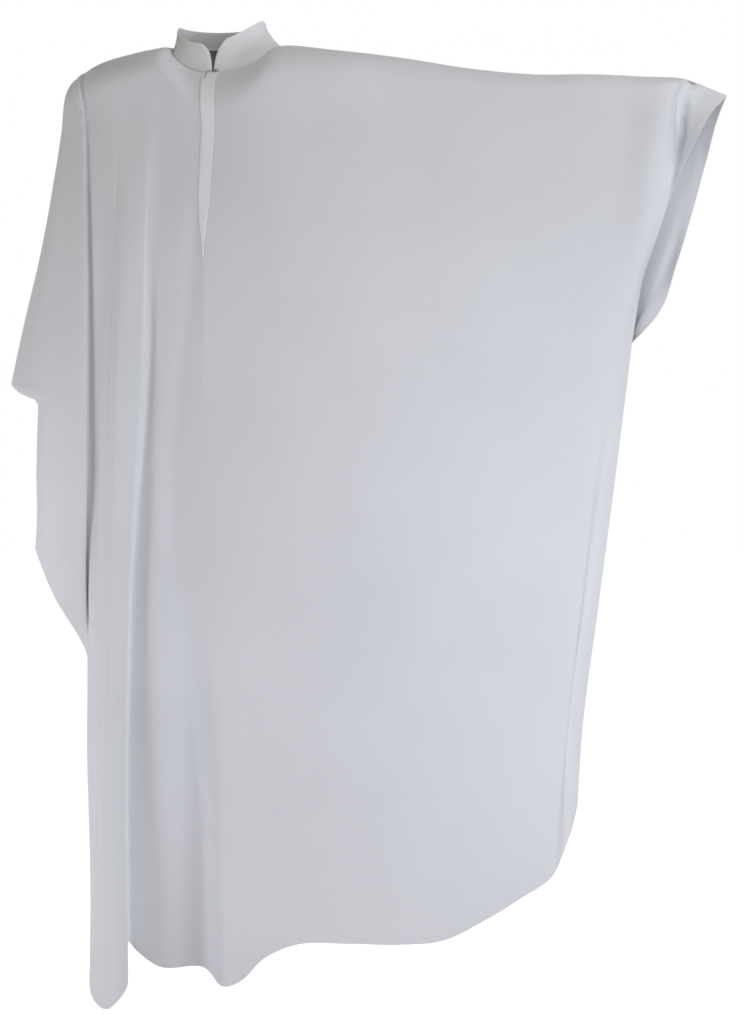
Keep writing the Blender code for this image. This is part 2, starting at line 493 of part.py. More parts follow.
def make_wire(name, points, material):
    data = bpy.data.curves.new(name, "CURVE")
    data.dimensions = "3D"
    data.bevel_depth = WIRE / 2
    data.bevel_resolution = 2
    data.use_fill_caps = True
    spline = data.splines.new("POLY")
    spline.points.add(len(points) - 1)
    for point, place in zip(spline.points, points):
        point.co = (*place, 1.0)
    data.materials.append(material)
    wire = bpy.data.objects.new(name, data)
    ROBE.objects.link(wire)
    return wire


def make_hook_and_eye(foot, placket, directions, material):
    """A wire hook whose shank lies on the placket, and the eye it passes through on the other collar end."""
    start = foot + np.array((0.0, -0.0014, 0.0037))
    off = SEAM_GAP + WIRE
    shank = [placket[2, 1] + directions[2, 1] * off, placket[1, 1] + directions[1, 1] * off]
    bar = [start + place for place in np.array(((-0.0040, -0.0011, 0.0), (0.0050, -0.0011, 0.0),
                                                (0.0062, -0.0009, 0.0), (0.0066, -0.0001, 0.0)))]
    loop = [start + place for place in np.array(((0.0105, 0.0, 0.0016), (0.0060, 0.0, 0.0016), (0.0046, 0.0, 0.0010),
                                                 (0.0046, 0.0, -0.0010), (0.0060, 0.0, -0.0016),
                                                 (0.0105, 0.0, -0.0016)))]
    make_wire("hook", shank + bar, material)
    make_wire("eye", loop, material)


# ---- materials ---------------------------------------------------------------------------------------
def principled(name, colour, roughness, metallic=0.0):
    material = bpy.data.materials.new(name)
    material.use_nodes = True
    shader = material.node_tree.nodes["Principled BSDF"]
    shader.inputs["Base Color"].default_value = (*colour, 1.0)
    shader.inputs["Roughness"].default_value = roughness
    shader.inputs["Metallic"].default_value = metallic
    material.diffuse_color = (*colour, 1.0)
    return material


for old in list(bpy.data.objects):
    bpy.data.objects.remove(old)
ROBE = bpy.data.collections.new("alb_robe")
bpy.context.scene.collection.children.link(ROBE)

CREPE = principled("white_crepe", (0.72, 0.73, 0.75), 0.85)
STEEL = principled("hook_steel", (0.20, 0.20, 0.21), 0.35, 1.0)

front_grid = panel_grid(FRONT_LINES, FRONT_HANGS, FRONT_CUFF_LINES, NECK_FRONT, FRONT_CUFF_RIGHT,
                        FRONT_CUFF_LEFT)
back_grid = panel_grid(BACK_LINES, BACK_HANGS, BACK_CUFF_LINES, NECK_BACK, BACK_CUFF_RIGHT, BACK_CUFF_LEFT)
front_normals, back_normals = sew(front_grid, back_grid)
make_panel("front", front_grid, front_normals, -1, CREPE, slit=True)
make_panel("back", back_grid, back_normals, 1, CREPE)
strip, strip_normals = placket_sheet(front_grid, front_normals)
make_placket(strip, strip_normals, CREPE)
make_collar(front_grid, back_grid, CREPE)
make_hook_and_eye(front_grid[0, column(CENTRE)], strip, strip_normals, STEEL)
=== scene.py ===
# %% [markdown]
# # A wide alb
# An alb is the plain white robe worn under other vestments. This one is cut as wide as its cloth: one width
# in front and one behind, sewn together over the shoulders and down the sides. It hangs as it is worn, one
# arm raised and one lowered, and the wearer isn't there.
#
# The solid model is loaded first as a fixed frame. Every dressed piece is then made in that same frame and
# takes the place of the plain solid that it stands for.

# %% Load the frame
from collections import namedtuple

import bpy
import numpy as np
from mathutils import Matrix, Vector, noise


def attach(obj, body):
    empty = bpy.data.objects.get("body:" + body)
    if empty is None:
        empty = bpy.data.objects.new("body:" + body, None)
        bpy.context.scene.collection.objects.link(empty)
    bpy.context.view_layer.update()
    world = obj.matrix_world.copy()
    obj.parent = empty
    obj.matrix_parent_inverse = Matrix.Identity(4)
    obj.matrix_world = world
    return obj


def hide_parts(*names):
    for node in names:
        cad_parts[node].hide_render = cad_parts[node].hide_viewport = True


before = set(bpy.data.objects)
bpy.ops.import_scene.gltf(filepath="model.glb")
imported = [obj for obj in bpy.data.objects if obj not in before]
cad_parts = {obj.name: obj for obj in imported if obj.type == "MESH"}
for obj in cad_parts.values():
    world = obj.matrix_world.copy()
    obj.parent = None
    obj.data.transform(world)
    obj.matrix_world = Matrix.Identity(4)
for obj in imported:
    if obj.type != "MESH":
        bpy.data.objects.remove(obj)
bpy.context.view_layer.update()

# %% [markdown]
# ## Camera
# The robe is looked at from 20 degrees to its left and level with its middle. A long lens keeps the sides
# of the cloth nearly parallel, as when a garment is seen from across a room. The camera is worked out from
# that angle and distance, so nothing about it has to be guessed by eye.

# %% Camera
VIEW_ANGLE = np.radians(20)
VIEW_DISTANCE = 3.5
MIDDLE_HEIGHT = -0.727
MIDDLE_ASIDE = 0.231    # the robe's middle lies this far beside its neck, seen from the camera
LENS = 77.8
ACROSS = np.array((np.cos(VIEW_ANGLE), np.sin(VIEW_ANGLE), 0.0))
TOWARD = np.array((np.sin(VIEW_ANGLE), -np.cos(VIEW_ANGLE), 0.0))
aim = np.array((0.0, 0.0, MIDDLE_HEIGHT)) + MIDDLE_ASIDE * ACROSS


def show(thing):
    """Put an object in the scene."""
    bpy.context.scene.collection.objects.link(thing)


camera_data = bpy.data.cameras.new("camera")
camera_data.lens = LENS
camera = bpy.data.objects.new("camera", camera_data)
camera.location = aim + VIEW_DISTANCE * TOWARD
camera.rotation_euler = Vector(TOWARD).to_track_quat("Z", "Y").to_euler()
show(camera)
bpy.context.scene.camera = camera
print("camera at", [round(v, 3) for v in camera.location])

# %% [markdown]
# ## Materials
# Every colour is written as the sRGB hex value a designer would use, and one function turns it to the linear
# values that the shader needs. One small function adds a node, sets it and links it.

# %% Colour and node helpers
WAVE_PERIOD = 0.31416   # a wave texture of scale 1 repeats over this length


def linear(hex_colour):
    """RGBA for the shader from an sRGB hex colour."""
    channels = [int(hex_colour[i:i + 2], 16) / 255 for i in (1, 3, 5)]
    return [c / 12.92 if c <= 0.04045 else ((c + 0.055) / 1.055) ** 2.4 for c in channels] + [1.0]


def add_node(tree, kind, values=(), feeds=(), **settings):
    """Add one node with its settings, the values of its inputs and the sockets that feed them."""
    made = tree.nodes.new(kind)
    for name, value in settings.items():
        setattr(made, name, value)
    for name, value in dict(values).items():
        made.inputs[name].default_value = value
    for name, source in dict(feeds).items():
        tree.links.new(source, made.inputs[name])
    return made


def new_material(name, **sockets):
    """A material whose shader has these numbers and colours on its own sockets."""
    material = bpy.data.materials.new(name)
    material.use_nodes = True
    shader = material.node_tree.nodes["Principled BSDF"]
    for socket, value in sockets.items():
        shader.inputs[socket.replace("_", " ")].default_value = value
    return material, material.node_tree, shader


def patches(tree, place, size, **settings):
    """A noise pattern with patches of this size in metres."""
    return add_node(tree, "ShaderNodeTexNoise", {"Scale": 1 / size, **settings},
                    {"Vector": place}).outputs["Fac"]


def ridges(tree, place, spacing, way, **settings):
    """A wave pattern with this spacing in metres."""
    return add_node(tree, "ShaderNodeTexWave", {"Scale": WAVE_PERIOD / spacing, **settings},
                    {"Vector": place}, bands_direction=way).outputs["Fac"]


def colour_by(tree, shader, factor, *stops):
    """Colour a shader by a ramp between two (place, hex colour) stops."""
    ramp = add_node(tree, "ShaderNodeValToRGB", feeds={"Fac": factor})
    for element, (place, colour) in zip(ramp.color_ramp.elements, stops):
        element.position, element.color = place, linear(colour)
    tree.links.new(ramp.outputs["Color"], shader.inputs["Base Color"])


def roughen(tree, shader, height, strength, depth):
    """Raise a surface by a pattern, up to a depth in metres."""
    bump = add_node(tree, "ShaderNodeBump", {"Strength": strength, "Distance": depth}, {"Height": height})
    tree.links.new(bump.outputs["Normal"], shader.inputs["Normal"])


# %% [markdown]
# ### Polyester crepe
# Albs like this are woven from polyester crepe: matt, opaque and soft, with a pebbled face from tightly
# twisted yarn. The weave catches no highlight, and a low sheen from the fibre ends lifts the edges. One
# layer lets a little light through and so looks greyer than the doubled collar and placket, which is why
# the two have colours of their own. The real yarns are 0.25 mm apart, too fine to show, so they are
# drawn 0.9 mm apart, and the pebble of the crepe 2.5 mm across.

# %% Polyester crepe
YARN_SPACING = 0.0009
PEBBLE = 0.0025
CLOTH_CLOUD = 0.22      # size of the faint changes in whiteness that wear and washing leave
SLUB = 6 * YARN_SPACING   # size of the uneven stretches in the yarn


def crepe(name, light, dark, pebble_depth):
    material, tree, shader = new_material(
        name, Roughness=0.86, IOR=1.46, Specular_IOR_Level=0.3, Sheen_Weight=0.12, Sheen_Roughness=0.5,
        Sheen_Tint=linear("#F2F4F8"))
    cloth = add_node(tree, "ShaderNodeUVMap", uv_map="cloth").outputs["UV"]
    place = add_node(tree, "ShaderNodeTexCoord").outputs["Object"]
    cloud = patches(tree, place, CLOTH_CLOUD, Detail=3.0)
    slub = patches(tree, cloth, SLUB, Detail=2.0)
    shade = add_node(tree, "ShaderNodeMath", {1: 0.25}, {0: slub, 2: cloud},
                     operation="MULTIPLY_ADD").outputs["Value"]
    colour_by(tree, shader, shade, (0.40, dark), (0.85, light))
    warp, weft = (ridges(tree, cloth, YARN_SPACING, way, Distortion=0.6) for way in ("X", "Y"))
    weave = add_node(tree, "ShaderNodeMath", feeds={0: warp, 1: weft}, operation="MAXIMUM").outputs["Value"]
    pebble = patches(tree, cloth, PEBBLE, Detail=3.0, Roughness=0.6)
    height = add_node(tree, "ShaderNodeMath", {1: 0.35}, {0: weave, 2: pebble},
                      operation="MULTIPLY_ADD").outputs["Value"]
    roughen(tree, shader, height, 0.35, pebble_depth)
    return material


SINGLE_CREPE = crepe("polyester_crepe_one_layer", "#E6E7EA", "#E0E1E4", 0.0002)
DOUBLED_CREPE = crepe("polyester_crepe_doubled", "#F7F8FA", "#F2F3F5", 0.00015)
print("crepe:", SINGLE_CREPE.name, "and", DOUBLED_CREPE.name)

# %% [markdown]
# ### Spun polyester thread
# The seams are sewn with spun polyester thread, white as the cloth but smoother, so that each stitch catches
# a small soft highlight. The thread is twisted, which shows as fine slanted ridges.

# %% Sewing thread
TWIST, TWIST_DEPTH = 0.0006, 0.0001   # from one ridge of the twist to the next, and the depth between them
THREAD_CLOUD = 0.02                   # size of its changes in tone
SEWING_THREAD, thread_tree, thread_shader = new_material(
    "spun_polyester_thread", Roughness=0.55, IOR=1.5, Sheen_Weight=0.2, Sheen_Roughness=0.4)
thread_place = add_node(thread_tree, "ShaderNodeTexCoord").outputs["Object"]
thread_tone = patches(thread_tree, thread_place, THREAD_CLOUD)
thread_colour = add_node(thread_tree, "ShaderNodeMix", feeds={"Factor": thread_tone}, data_type="RGBA")
thread_colour.inputs["A"].default_value = linear("#D4D5D9")
thread_colour.inputs["B"].default_value = linear("#E2E3E6")
thread_tree.links.new(thread_colour.outputs["Result"], thread_shader.inputs["Base Color"])
roughen(thread_tree, thread_shader, ridges(thread_tree, thread_place, TWIST, "DIAGONAL"), 0.4, TWIST_DEPTH)
print("thread:", SEWING_THREAD.name)

# %% [markdown]
# ### Blackened spring steel
# Hooks and eyes are bent from spring-steel wire that is blackened against rust. The finish is dark and half
# glossy. Drawing the wire leaves fine lines, and handling polishes it lighter in patches.

# %% Hook wire
WEAR_PATCH, DRAWN_LINE, DRAWN_DEPTH = 0.0022, 0.0002, 0.00003   # polished patches, lines from drawing
WIRE_STEEL, wire_tree, wire_shader = new_material("blackened_spring_steel", Metallic=1.0)
wire_place = add_node(wire_tree, "ShaderNodeTexCoord").outputs["Object"]
wire_wear = patches(wire_tree, wire_place, WEAR_PATCH, Detail=3.0)
colour_by(wire_tree, wire_shader, wire_wear, (0.42, "#4A4A4F"), (0.72, "#85858A"))
wire_gloss = add_node(wire_tree, "ShaderNodeMapRange", {"To Min": 0.42, "To Max": 0.26},
                      {"Value": wire_wear})
wire_tree.links.new(wire_gloss.outputs["Result"], wire_shader.inputs["Roughness"])
roughen(wire_tree, wire_shader, patches(wire_tree, wire_place, DRAWN_LINE), 0.2, DRAWN_DEPTH)
print("wire:", WIRE_STEEL.name)

# %% [markdown]
# ## The cut of the robe
# Front and back are one cloth width each. A panel is laid out as a loft: named lines run down the cloth along
# its seams, folds and hollows, and every row of the loft crosses all of them. The tables say, in millimetres,
# where each line passes. They are the solid model's tables, with the folds of the wearer's right side and
# the raised cuff drawn closer to how such thin cloth falls, so the dressed cloth stays within about 2 cm of
# the solid.

# %% Heights and rows
YOKE, CHEST, ELBOW, HIP, FLANK, THIGH, KNEE = -0.12, -0.30, -0.52, -0.75, -0.865, -0.96, -1.15
HEIGHTS = (YOKE, CHEST, ELBOW, HIP, FLANK, THIGH, KNEE)

# Depth of each row of the solid below the shoulder corner, down the wearer's right edge.
ROWS = (0, 0.004, 0.014, 0.032, 0.058, 0.095, 0.145, 0.210, 0.284, 0.345, 0.40, 0.461, 0.488, 0.503, 0.518,
        0.565, 0.625, 0.69, 0.753, 0.80, 0.835, 0.865, 0.895, 0.94, 1.0, 1.07, 1.14, 1.21, 1.28, 1.348)
UNDERARM_LEFT_DEPTH, CUFF_TOP_DEPTH, UNDERARM_RIGHT_DEPTH = ROWS[11], ROWS[12], ROWS[18]
ROUND_STEPS = (28, 58)   # degrees of the two lines on the round of the lowered sleeve
# Columns from each line to the next.
SPLITS = (1, 1, 1) + (2,) * 5 + (3, 3, 3) + (2,) * 4 + (3, 3) + (3, 2, 1) + (2,) * 9

# %% Edges of the cloth, in smooth runs of (z, x, y)
def metres(table):
    """A nested table of millimetres turned to metres; names in it stay as they are."""
    if isinstance(table, tuple):
        return tuple(metres(entry) for entry in table)
    return table if isinstance(table, str) else table / 1000


OVERARM_RIGHT = metres((
    (-28, -251, 0), (-49, -258.5, 0), (-116, -271, 0), (-197, -287, 0), (-309, -308.5, -10),
    (-413, -334, -20), (-520, -359, -30)))
SIDE_SEAM_RIGHT = metres((
    (-785, -314, -30), (-855, -284, -20), (-919, -249, -5), (-965, -232, 10), (-1100, -223, 30),
    (-1250, -216, 35), (-1380, -205, 30)))
SIDE_SEAM_LEFT = metres((
    (-477, 655, 0), (-620, 637, 0), (-850, 606.5, 0), (-1060, 579, 0), (-1165.5, 572, 0)))
FRONT_CUFF_RIGHT = metres((
    ((-520, -359, -30), (-526, -346, -52), (-537, -323, -74), (-550, -279, -100)),
    ((-550, -279, -100), (-656, -287, -90), (-732, -297, -65), (-785, -314, -30)),
))
BACK_CUFF_RIGHT = metres((
    ((-520, -359, -30), (-526, -356, -10), (-537, -352, 14), (-550, -343, 35)),
    ((-550, -343, 35), (-656, -336, 45), (-732, -330, 15), (-785, -314, -30)),
))
FRONT_CUFF_LEFT = metres((
    (-119.4, 796, 0), (-150, 778, -30), (-183.5, 762, -43), (-256, 728, -47), (-320, 703, -37),
    (-375, 680, -24), (-477, 655, 0)))
BACK_CUFF_LEFT = metres((
    (-119.4, 796, 0), (-142, 777, 36), (-193, 757, 58), (-275, 731, 71), (-356, 709.5, 57),
    (-433, 685, 36), (-477, 655, 0)))

# %% The top of the cloth, one (x, y, z) for each line from the lowered arm to the raised cuff
SHOULDER_RIGHT = metres((
    (-242, 0, -23.5), (-236, 0, -21), (-230, 0, -18.2), (-223, 0, -15), (-214.5, 0, -11.8),
    (-203, 0, -8.5), (-188, 0, -4.5), (-168, 0, 0.5), (-148, 0, 4.5), (-130, 0, 8.2), (-111, 0, 11),
    (-91, 0, 12.8)))
NECK_FRONT = metres((
    (-72, -38, -8), (-36, -60, -34), (8, -69, -46.5), (50, -58, -39), (80, -34, -20)))
NECK_BACK = metres((
    (-70, 36, 16), (-38, 58, 18), (4, 66, 18), (45, 57, 14), (78, 34, 8)))
ARM_LEFT = metres((
    (95.5, 0, 1), (200, 0, -14), (305, 0, -32), (410, 0, -54.5), (510, 0, -70), (600, 0, -76),
    (665, 0, -83)))
NECK_SIDE_RIGHT, CENTRE, NECK_SIDE_LEFT = 14, 17, 20   # numbers of lines, the right edge being 0

# %% Lines down the front: (x, y) at the seven heights, and (x, y, z) at the hem
Line = namedtuple("Line", "name yoke chest elbow hip flank thigh knee hem")

FRONT_LINES = [Line(*line) for line in metres((
    ("sleeve_front", (-234, -80), (-230, -102), (-234, -116), (-246, -102), (-246, -78), (-232, -22),
     (-232, -18), (-213, -5, -1400)),
    ("sleeve_fold", (-199.7, -99.3), (-183.4, -118.9), (-178.6, -126.7), (-184.1, -118.1), (-196.4, -97),
     (-223.5, -41), (-225.5, -37), (-210.5, -27, -1402)),
    ("sleeve_side", (-198.6, -94.6), (-189.4, -109.4), (-185.4, -116.4), (-189.7, -109.5),
     (-199.6, -87.5), (-212.5, -52), (-213.5, -57), (-204, -48, -1403)),
    ("armpit_hollow", (-193.7, -95), (-185.7, -108), (-182.5, -113.2), (-182.8, -111.2), (-187.8, -100.3),
     (-198.6, -74.4), (-206.5, -69), (-199, -61, -1402)),
    ("side_of_chest", (-183.9, -101), (-174, -115.5), (-171.8, -117.9), (-170.9, -114.4),
     (-175.4, -110.7), (-185.7, -97.4), (-193.5, -96), (-194, -73, -1403)),
    ("side_strip", (-161.4, -110.9), (-152.6, -121.5), (-155.5, -122.6), (-161, -120.3), (-163.6, -120.2),
     (-167.9, -118.6), (-169.9, -121.4), (-181, -115, -1467)),
    ("side_crease", (-134, -118), (-131.5, -130.9), (-134.6, -138.4), (-138, -141.8), (-138.6, -144.1),
     (-143.8, -143.9), (-148.9, -145.7), (-158, -138, -1486)),
    ("long_fold", (-106, -122), (-108.7, -140.6), (-115.4, -152.7), (-119.1, -157.2), (-120.4, -159.8),
     (-123.1, -162.9), (-126.5, -166.3), (-115.3, -175, -1482)),
    ("long_fold_edge", (-78, -127), (-75.9, -141.5), (-79.4, -144.9), (-91.9, -150.5), (-96, -154.1),
     (-96.6, -156.5), (-98.1, -160.2), (-89.6, -168.8, -1450)),
    ("fold_side", (-66, -128), (-69.6, -137.1), (-77.1, -135.6), (-94.6, -139.8), (-99.9, -142.8),
     (-100.9, -144.2), (-103.8, -145.3), (-100.3, -147.2, -1405)),
    ("long_hollow", (-55, -128), (-60.5, -134.8), (-72.1, -128.4), (-92.6, -131.6), (-99.9, -134.3),
     (-101.2, -136.8), (-106.1, -135.5), (-107.1, -128.4, -1389)),
    ("hollow_wall", (-42, -129), (-47.9, -136.6), (-60.4, -131.6), (-78.9, -131.9), (-84.7, -134),
     (-87.1, -136), (-91.3, -134.3), (-91.5, -127, -1404)),
    ("chest_flat", (-18, -130), (-25.9, -140.3), (-43.6, -135), (-55.4, -135.1), (-61.5, -136.3),
     (-56.4, -136.5), (-55.6, -130.9), (-55, -120.5, -1426)),
    ("soft_valley", (6, -130), (0.6, -143.4), (-18.4, -138.6), (-29.9, -135.4), (-30.8, -133.6),
     (-14, -126.4), (4, -117), (8, -112, -1422)),
    ("centre_front", (29, -130), (27, -146), (33, -151), (40, -151), (46, -152), (52, -153), (62, -157),
     (71, -166, -1438)),
    ("centre_left", (68, -129), (70, -147), (82, -152), (96, -152), (102, -152), (107, -151), (116, -149),
     (95, -158, -1429)),
    ("neck_left", (98, -126), (110, -145), (124, -151), (136, -149), (141, -148), (144, -147),
     (150, -144), (128, -147, -1395)),
    ("shoulder_left", (136, -119), (148, -142), (160, -148), (172, -146), (176, -145), (179, -143),
     (185, -139), (178, -135, -1373)),
))]

# %% Lines down the back
BACK_LINES = [Line(*line) for line in metres((
    ("sleeve_back", (-262, 70), (-275, 75), (-302, 72), (-276, 48), (-255, 54), (-241, 64), (-237, 84),
     (-213, 78, -1393)),
    ("sleeve_back_fold", (-240, 95), (-240, 105), (-252, 110), (-242, 95), (-239, 95), (-238, 98),
     (-240, 112), (-215, 108, -1398)),
    ("sleeve_back_side", (-226, 97), (-222, 96), (-228, 92), (-222, 84), (-222, 88), (-222, 93),
     (-224, 106), (-204, 104, -1399)),
    ("back_armpit", (-211, 95), (-206, 80), (-207, 70), (-205, 70), (-204, 77), (-204, 84), (-206, 97),
     (-191, 98, -1400)),
    ("back_flank", (-190, 101), (-183, 97), (-180, 90), (-182, 92), (-182, 98), (-182, 104), (-182, 116),
     (-173, 118, -1403)),
    ("fold_a_side", (-172, 107), (-163, 112), (-160, 112), (-162, 120), (-163, 128), (-164, 135),
     (-166, 148), (-161, 152, -1410)),
    ("fold_a", (-155, 111), (-146, 121), (-142, 126), (-143, 137), (-144, 145), (-145, 151), (-146, 163),
     (-143, 166, -1412)),
    ("fold_a_fall", (-137, 113), (-127, 121), (-122, 122), (-121, 129), (-121, 134), (-121, 139),
     (-121, 147), (-119, 151, -1410)),
    ("valley_a", (-118, 115), (-108, 120), (-102, 118), (-99, 121), (-98, 124), (-97, 126), (-96, 130),
     (-94, 134, -1410)),
    ("fold_b_rise", (-99, 117), (-89, 123), (-82, 123), (-78, 127), (-76, 130), (-75, 132), (-73, 137),
     (-71, 142, -1411)),
    ("fold_b", (-80, 119), (-69, 128), (-62, 128), (-57, 136), (-55, 140), (-53, 144), (-50, 150),
     (-47, 156, -1413)),
    ("fold_b_fall", (-61, 120), (-49, 129), (-41, 131), (-35, 136), (-32, 139), (-30, 142), (-26, 147),
     (-23, 152, -1412)),
    ("valley_b", (-40, 120), (-26, 129), (-16, 130), (-8, 134), (-5, 137), (-2, 139), (3, 143),
     (7, 147, -1409)),
    ("fold_c", (-16, 120), (0, 131), (12, 136), (22, 145), (26, 150), (29, 154), (35, 161),
     (39, 165, -1408)),
    ("centre_back", (10, 119), (28, 130), (41, 135), (52, 142), (57, 146), (60, 149), (66, 155),
     (70, 161, -1408)),
    ("back_left", (48, 116), (66, 127), (79, 131), (91, 135), (96, 137), (99, 139), (105, 143),
     (109, 147, -1401)),
    ("back_neck_left", (88, 111), (106, 123), (119, 128), (131, 133), (136, 136), (139, 139), (145, 144),
     (149, 149, -1396)),
    ("back_shoulder_left", (128, 104), (146, 117), (158, 122), (170, 126), (175, 128), (178, 129),
     (184, 132), (188, 136, -1389)),
))]

# %% Lines that hang straight from the raised arm: y at the seven heights, and (x, y, z) at the hem
Hang = namedtuple("Hang", "name yoke chest elbow hip flank thigh knee hem")

FRONT_HANGS = [Hang(*hang) for hang in metres((
    ("upper_arm_a", -100, -130, -137, -137, -136, -134, -129, (255, -124, -1369)),
    ("upper_arm_b", -77, -108, -118, -120, -119, -118, -114, (330, -110, -1368)),
    ("elbow", -64, -84, -94, -98, -99, -99, -96, (392, -92, -1361)),
    ("forearm_a", -58, -68, -72, -76, -78, -79, -78, (450, -74, -1331)),
    ("forearm_b", -54, -58, -52, -54, -56, -57, -57, (502, -55, -1297)),
    ("forearm_c", -52, -55, -34, -34, -35, -36, -36, (541, -36, -1268)),
))]
BACK_HANGS = [Hang(*hang) for hang in metres((
    ("upper_arm_a", 88, 104, 110, 114, 115, 116, 118, (255, 120, -1380)),
    ("upper_arm_b", 74, 90, 98, 102, 103, 104, 106, (330, 108, -1375)),
    ("elbow", 62, 74, 82, 86, 87, 87, 88, (392, 88, -1365)),
    ("forearm_a", 56, 60, 64, 66, 66, 66, 66, (450, 66, -1326)),
    ("forearm_b", 53, 56, 44, 45, 46, 46, 46, (500, 45, -1286)),
    ("forearm_c", 52, 58, 26, 27, 28, 28, 28, (530, 28, -1248)),
))]

# %% The last two lines before the raised cuff and the side seam below it, as (z, x, y)
FRONT_CUFF_LINES = metres((
    ((-90.3, 731.4, 0), (-98, 730, -28), (-126.6, 724.5, -50), (-180, 716, -60), (-228, 704, -60),
     (-300, 694, -58), (-374, 676, -42), (-477, 643.5, -16), (-530, 634, -18), (-620, 620, -18),
     (-850, 589, -20), (-1060, 561, -20), (-1231.5, 554.5, -14)),
    ((-99.1, 753.6, 0), (-112, 744, -12), (-140, 736, -20), (-180, 733, -24), (-225, 726.5, -37),
     (-256, 719.5, -47), (-320, 697, -46), (-375, 679, -34), (-477, 649.5, -9), (-530, 642, -10),
     (-620, 629.5, -10), (-850, 599, -11), (-1060, 571, -11), (-1196, 566, -6)),
))
BACK_CUFF_LINES = metres((
    ((-90.3, 731.4, 0), (-98, 731, 25), (-130, 728, 48), (-193, 722, 58), (-275, 706, 63),
     (-374, 679, 47), (-477, 643.5, 17), (-530, 634, 16), (-620, 620, 16), (-850, 587, 14),
     (-1060, 558, 14), (-1218, 547, 11)),
    ((-99.1, 753.6, 0), (-107, 752, 22), (-136, 746.5, 47), (-193, 739.5, 58), (-275, 719, 67),
     (-374, 691, 53), (-477, 649.5, 10), (-530, 642, 10), (-620, 629.5, 10), (-850, 597, 9),
     (-1060, 568, 8), (-1190, 561, 4)),
))

# %% How each of these lines rolls off the shoulder or arm, in front as behind
# A roll is the depth over which it goes forward, and a bend the power of that curve: 0.5 is a quarter circle.
ROLLS = (0.09,) * 11 + (0.1,) + (0.11,) * 5 + (0.1,) + (0.08, 0.07, 0.06, 0.055, 0.05, 0.05)
BENDS = (0.5,) * 7 + (0.55, 0.6, 0.65, 0.7, 0.7) + (0.75,) * 5 + (0.7,) + (0.5,) * 6
TURN = 0.7   # the rolls suit a thick wall, and thin cloth turns over in this share of them
print("lines:", len(FRONT_LINES) + len(FRONT_HANGS), "down the front,", len(BACK_LINES) + len(BACK_HANGS),
      "down the back")

# %% [markdown]
# ### Curves
# A line of cloth has no corners, so each table is read through a smooth curve. The curve is the cubic that
# passes through the points with the slopes between their neighbours. It could be a Bezier spline object, but
# a function can be read at any height, which is what the rows of the loft need.

# %% Curves
def curve(knots, points, at):
    """A smooth curve through the points, read at one knot value or at several."""
    points, at = np.asarray(points, float), np.asarray(at, float)
    slopes = np.gradient(points, knots, axis=0)
    i = np.clip(np.searchsorted(knots, at) - 1, 0, len(knots) - 2)
    step = (knots[i + 1] - knots[i])[..., None]
    s = np.clip((at - knots[i])[..., None] / step, 0.0, 1.0)
    return ((2 * s**3 - 3 * s**2 + 1) * points[i] + (s**3 - 2 * s**2 + s) * step * slopes[i]
            + (3 * s**2 - 2 * s**3) * points[i + 1] + (s**3 - s**2) * step * slopes[i + 1])


def down(run, z):
    """(x, y, z) on a run of (z, x, y) points."""
    run = np.asarray(run, float)
    return np.append(curve(-run[:, 0], run[:, 1:], -z), z)


def down_edge(runs, share):
    """(x, y, z) at a share of the height of an edge made of smooth runs that meet at corners."""
    z = runs[0][0][0] + share * (runs[-1][-1][0] - runs[0][0][0])
    for run in runs:
        if z >= run[-1][0] - 1e-9:
            break
    return down(run, z)


def down_line(line, roll, bend, top, z):
    """(x, y, z) on a named line that rolls off its top point and then passes its seven heights."""
    levels = [(-height, *place) for height, place in zip(HEIGHTS, line[1:8])]
    levels = np.array(levels + [(-line.hem[2], line.hem[0], line.hem[1])])
    x, y = curve(levels[:, 0], levels[:, 1:], -z)
    fall = top[2] - z
    rolled = 1 - min(fall / (TURN * roll), 1.0)
    settled = min(fall / max(top[2] - YOKE, roll), 1.0)
    return np.array((top[0] + (x - top[0]) * settled * (2 - settled),
                     top[1] + (y - top[1]) * (1 - rolled**2) ** bend, z))


def hung_line(hang, top):
    """The line that hangs straight from a point of the raised arm to the hem."""
    places = []
    for height, y in zip(HEIGHTS, hang[1:8]):
        share = max((height - top[2]) / (hang.hem[2] - top[2]), 0.0)
        places.append((top[0] + (hang.hem[0] - top[0]) * share, y))
    return Line(hang.name, *places, hang.hem)


# %% [markdown]
# ### The panels as fine grids
# The solid model needs few faces. The dressed cloth is read from the same lines with five rows and four
# columns in place of each one, so that its folds are round. Close to the hem the rows follow the turned-up
# edge instead.

# %% Fine grids of the two panels
ROWS_FINER, COLUMNS_FINER = 5, 4
HEM_DEPTH = 0.010       # a narrow machine hem
HEM_ROWS = (0.0145, HEM_DEPTH, 0.006, 0.002)

DEPTHS = [0.0]
for low, high in zip(ROWS[1:], ROWS[2:]):
    DEPTHS += list(np.linspace(low, high, ROWS_FINER, endpoint=False))
DEPTHS = [d for d in DEPTHS if d < ROWS[-1] - HEM_ROWS[0] - 0.001]
DEPTHS += [ROWS[-1] - h for h in HEM_ROWS] + [ROWS[-1]]
PLACES = np.concatenate([i + np.arange(n * COLUMNS_FINER) / (n * COLUMNS_FINER)
                         for i, n in enumerate(SPLITS)] + [[len(SPLITS)]])


def run_along(points, power=1):
    """Distance along a row of points, each step raised to a power."""
    return np.concatenate(([0.0], np.cumsum(np.linalg.norm(np.diff(points, axis=0), axis=1) ** power)))


def round_sleeve(edge, line):
    """Points on a quarter ellipse from the edge of the lowered sleeve to the first line of the panel."""
    angles = np.radians(ROUND_STEPS)[:, None]
    return edge * (0, 1, 1) + line * (1, 0, 0) + np.hstack((
        (edge[0] - line[0]) * np.cos(angles), (line[1] - edge[1]) * np.sin(angles),
        (line[2] - edge[2]) * np.degrees(angles) / 90))


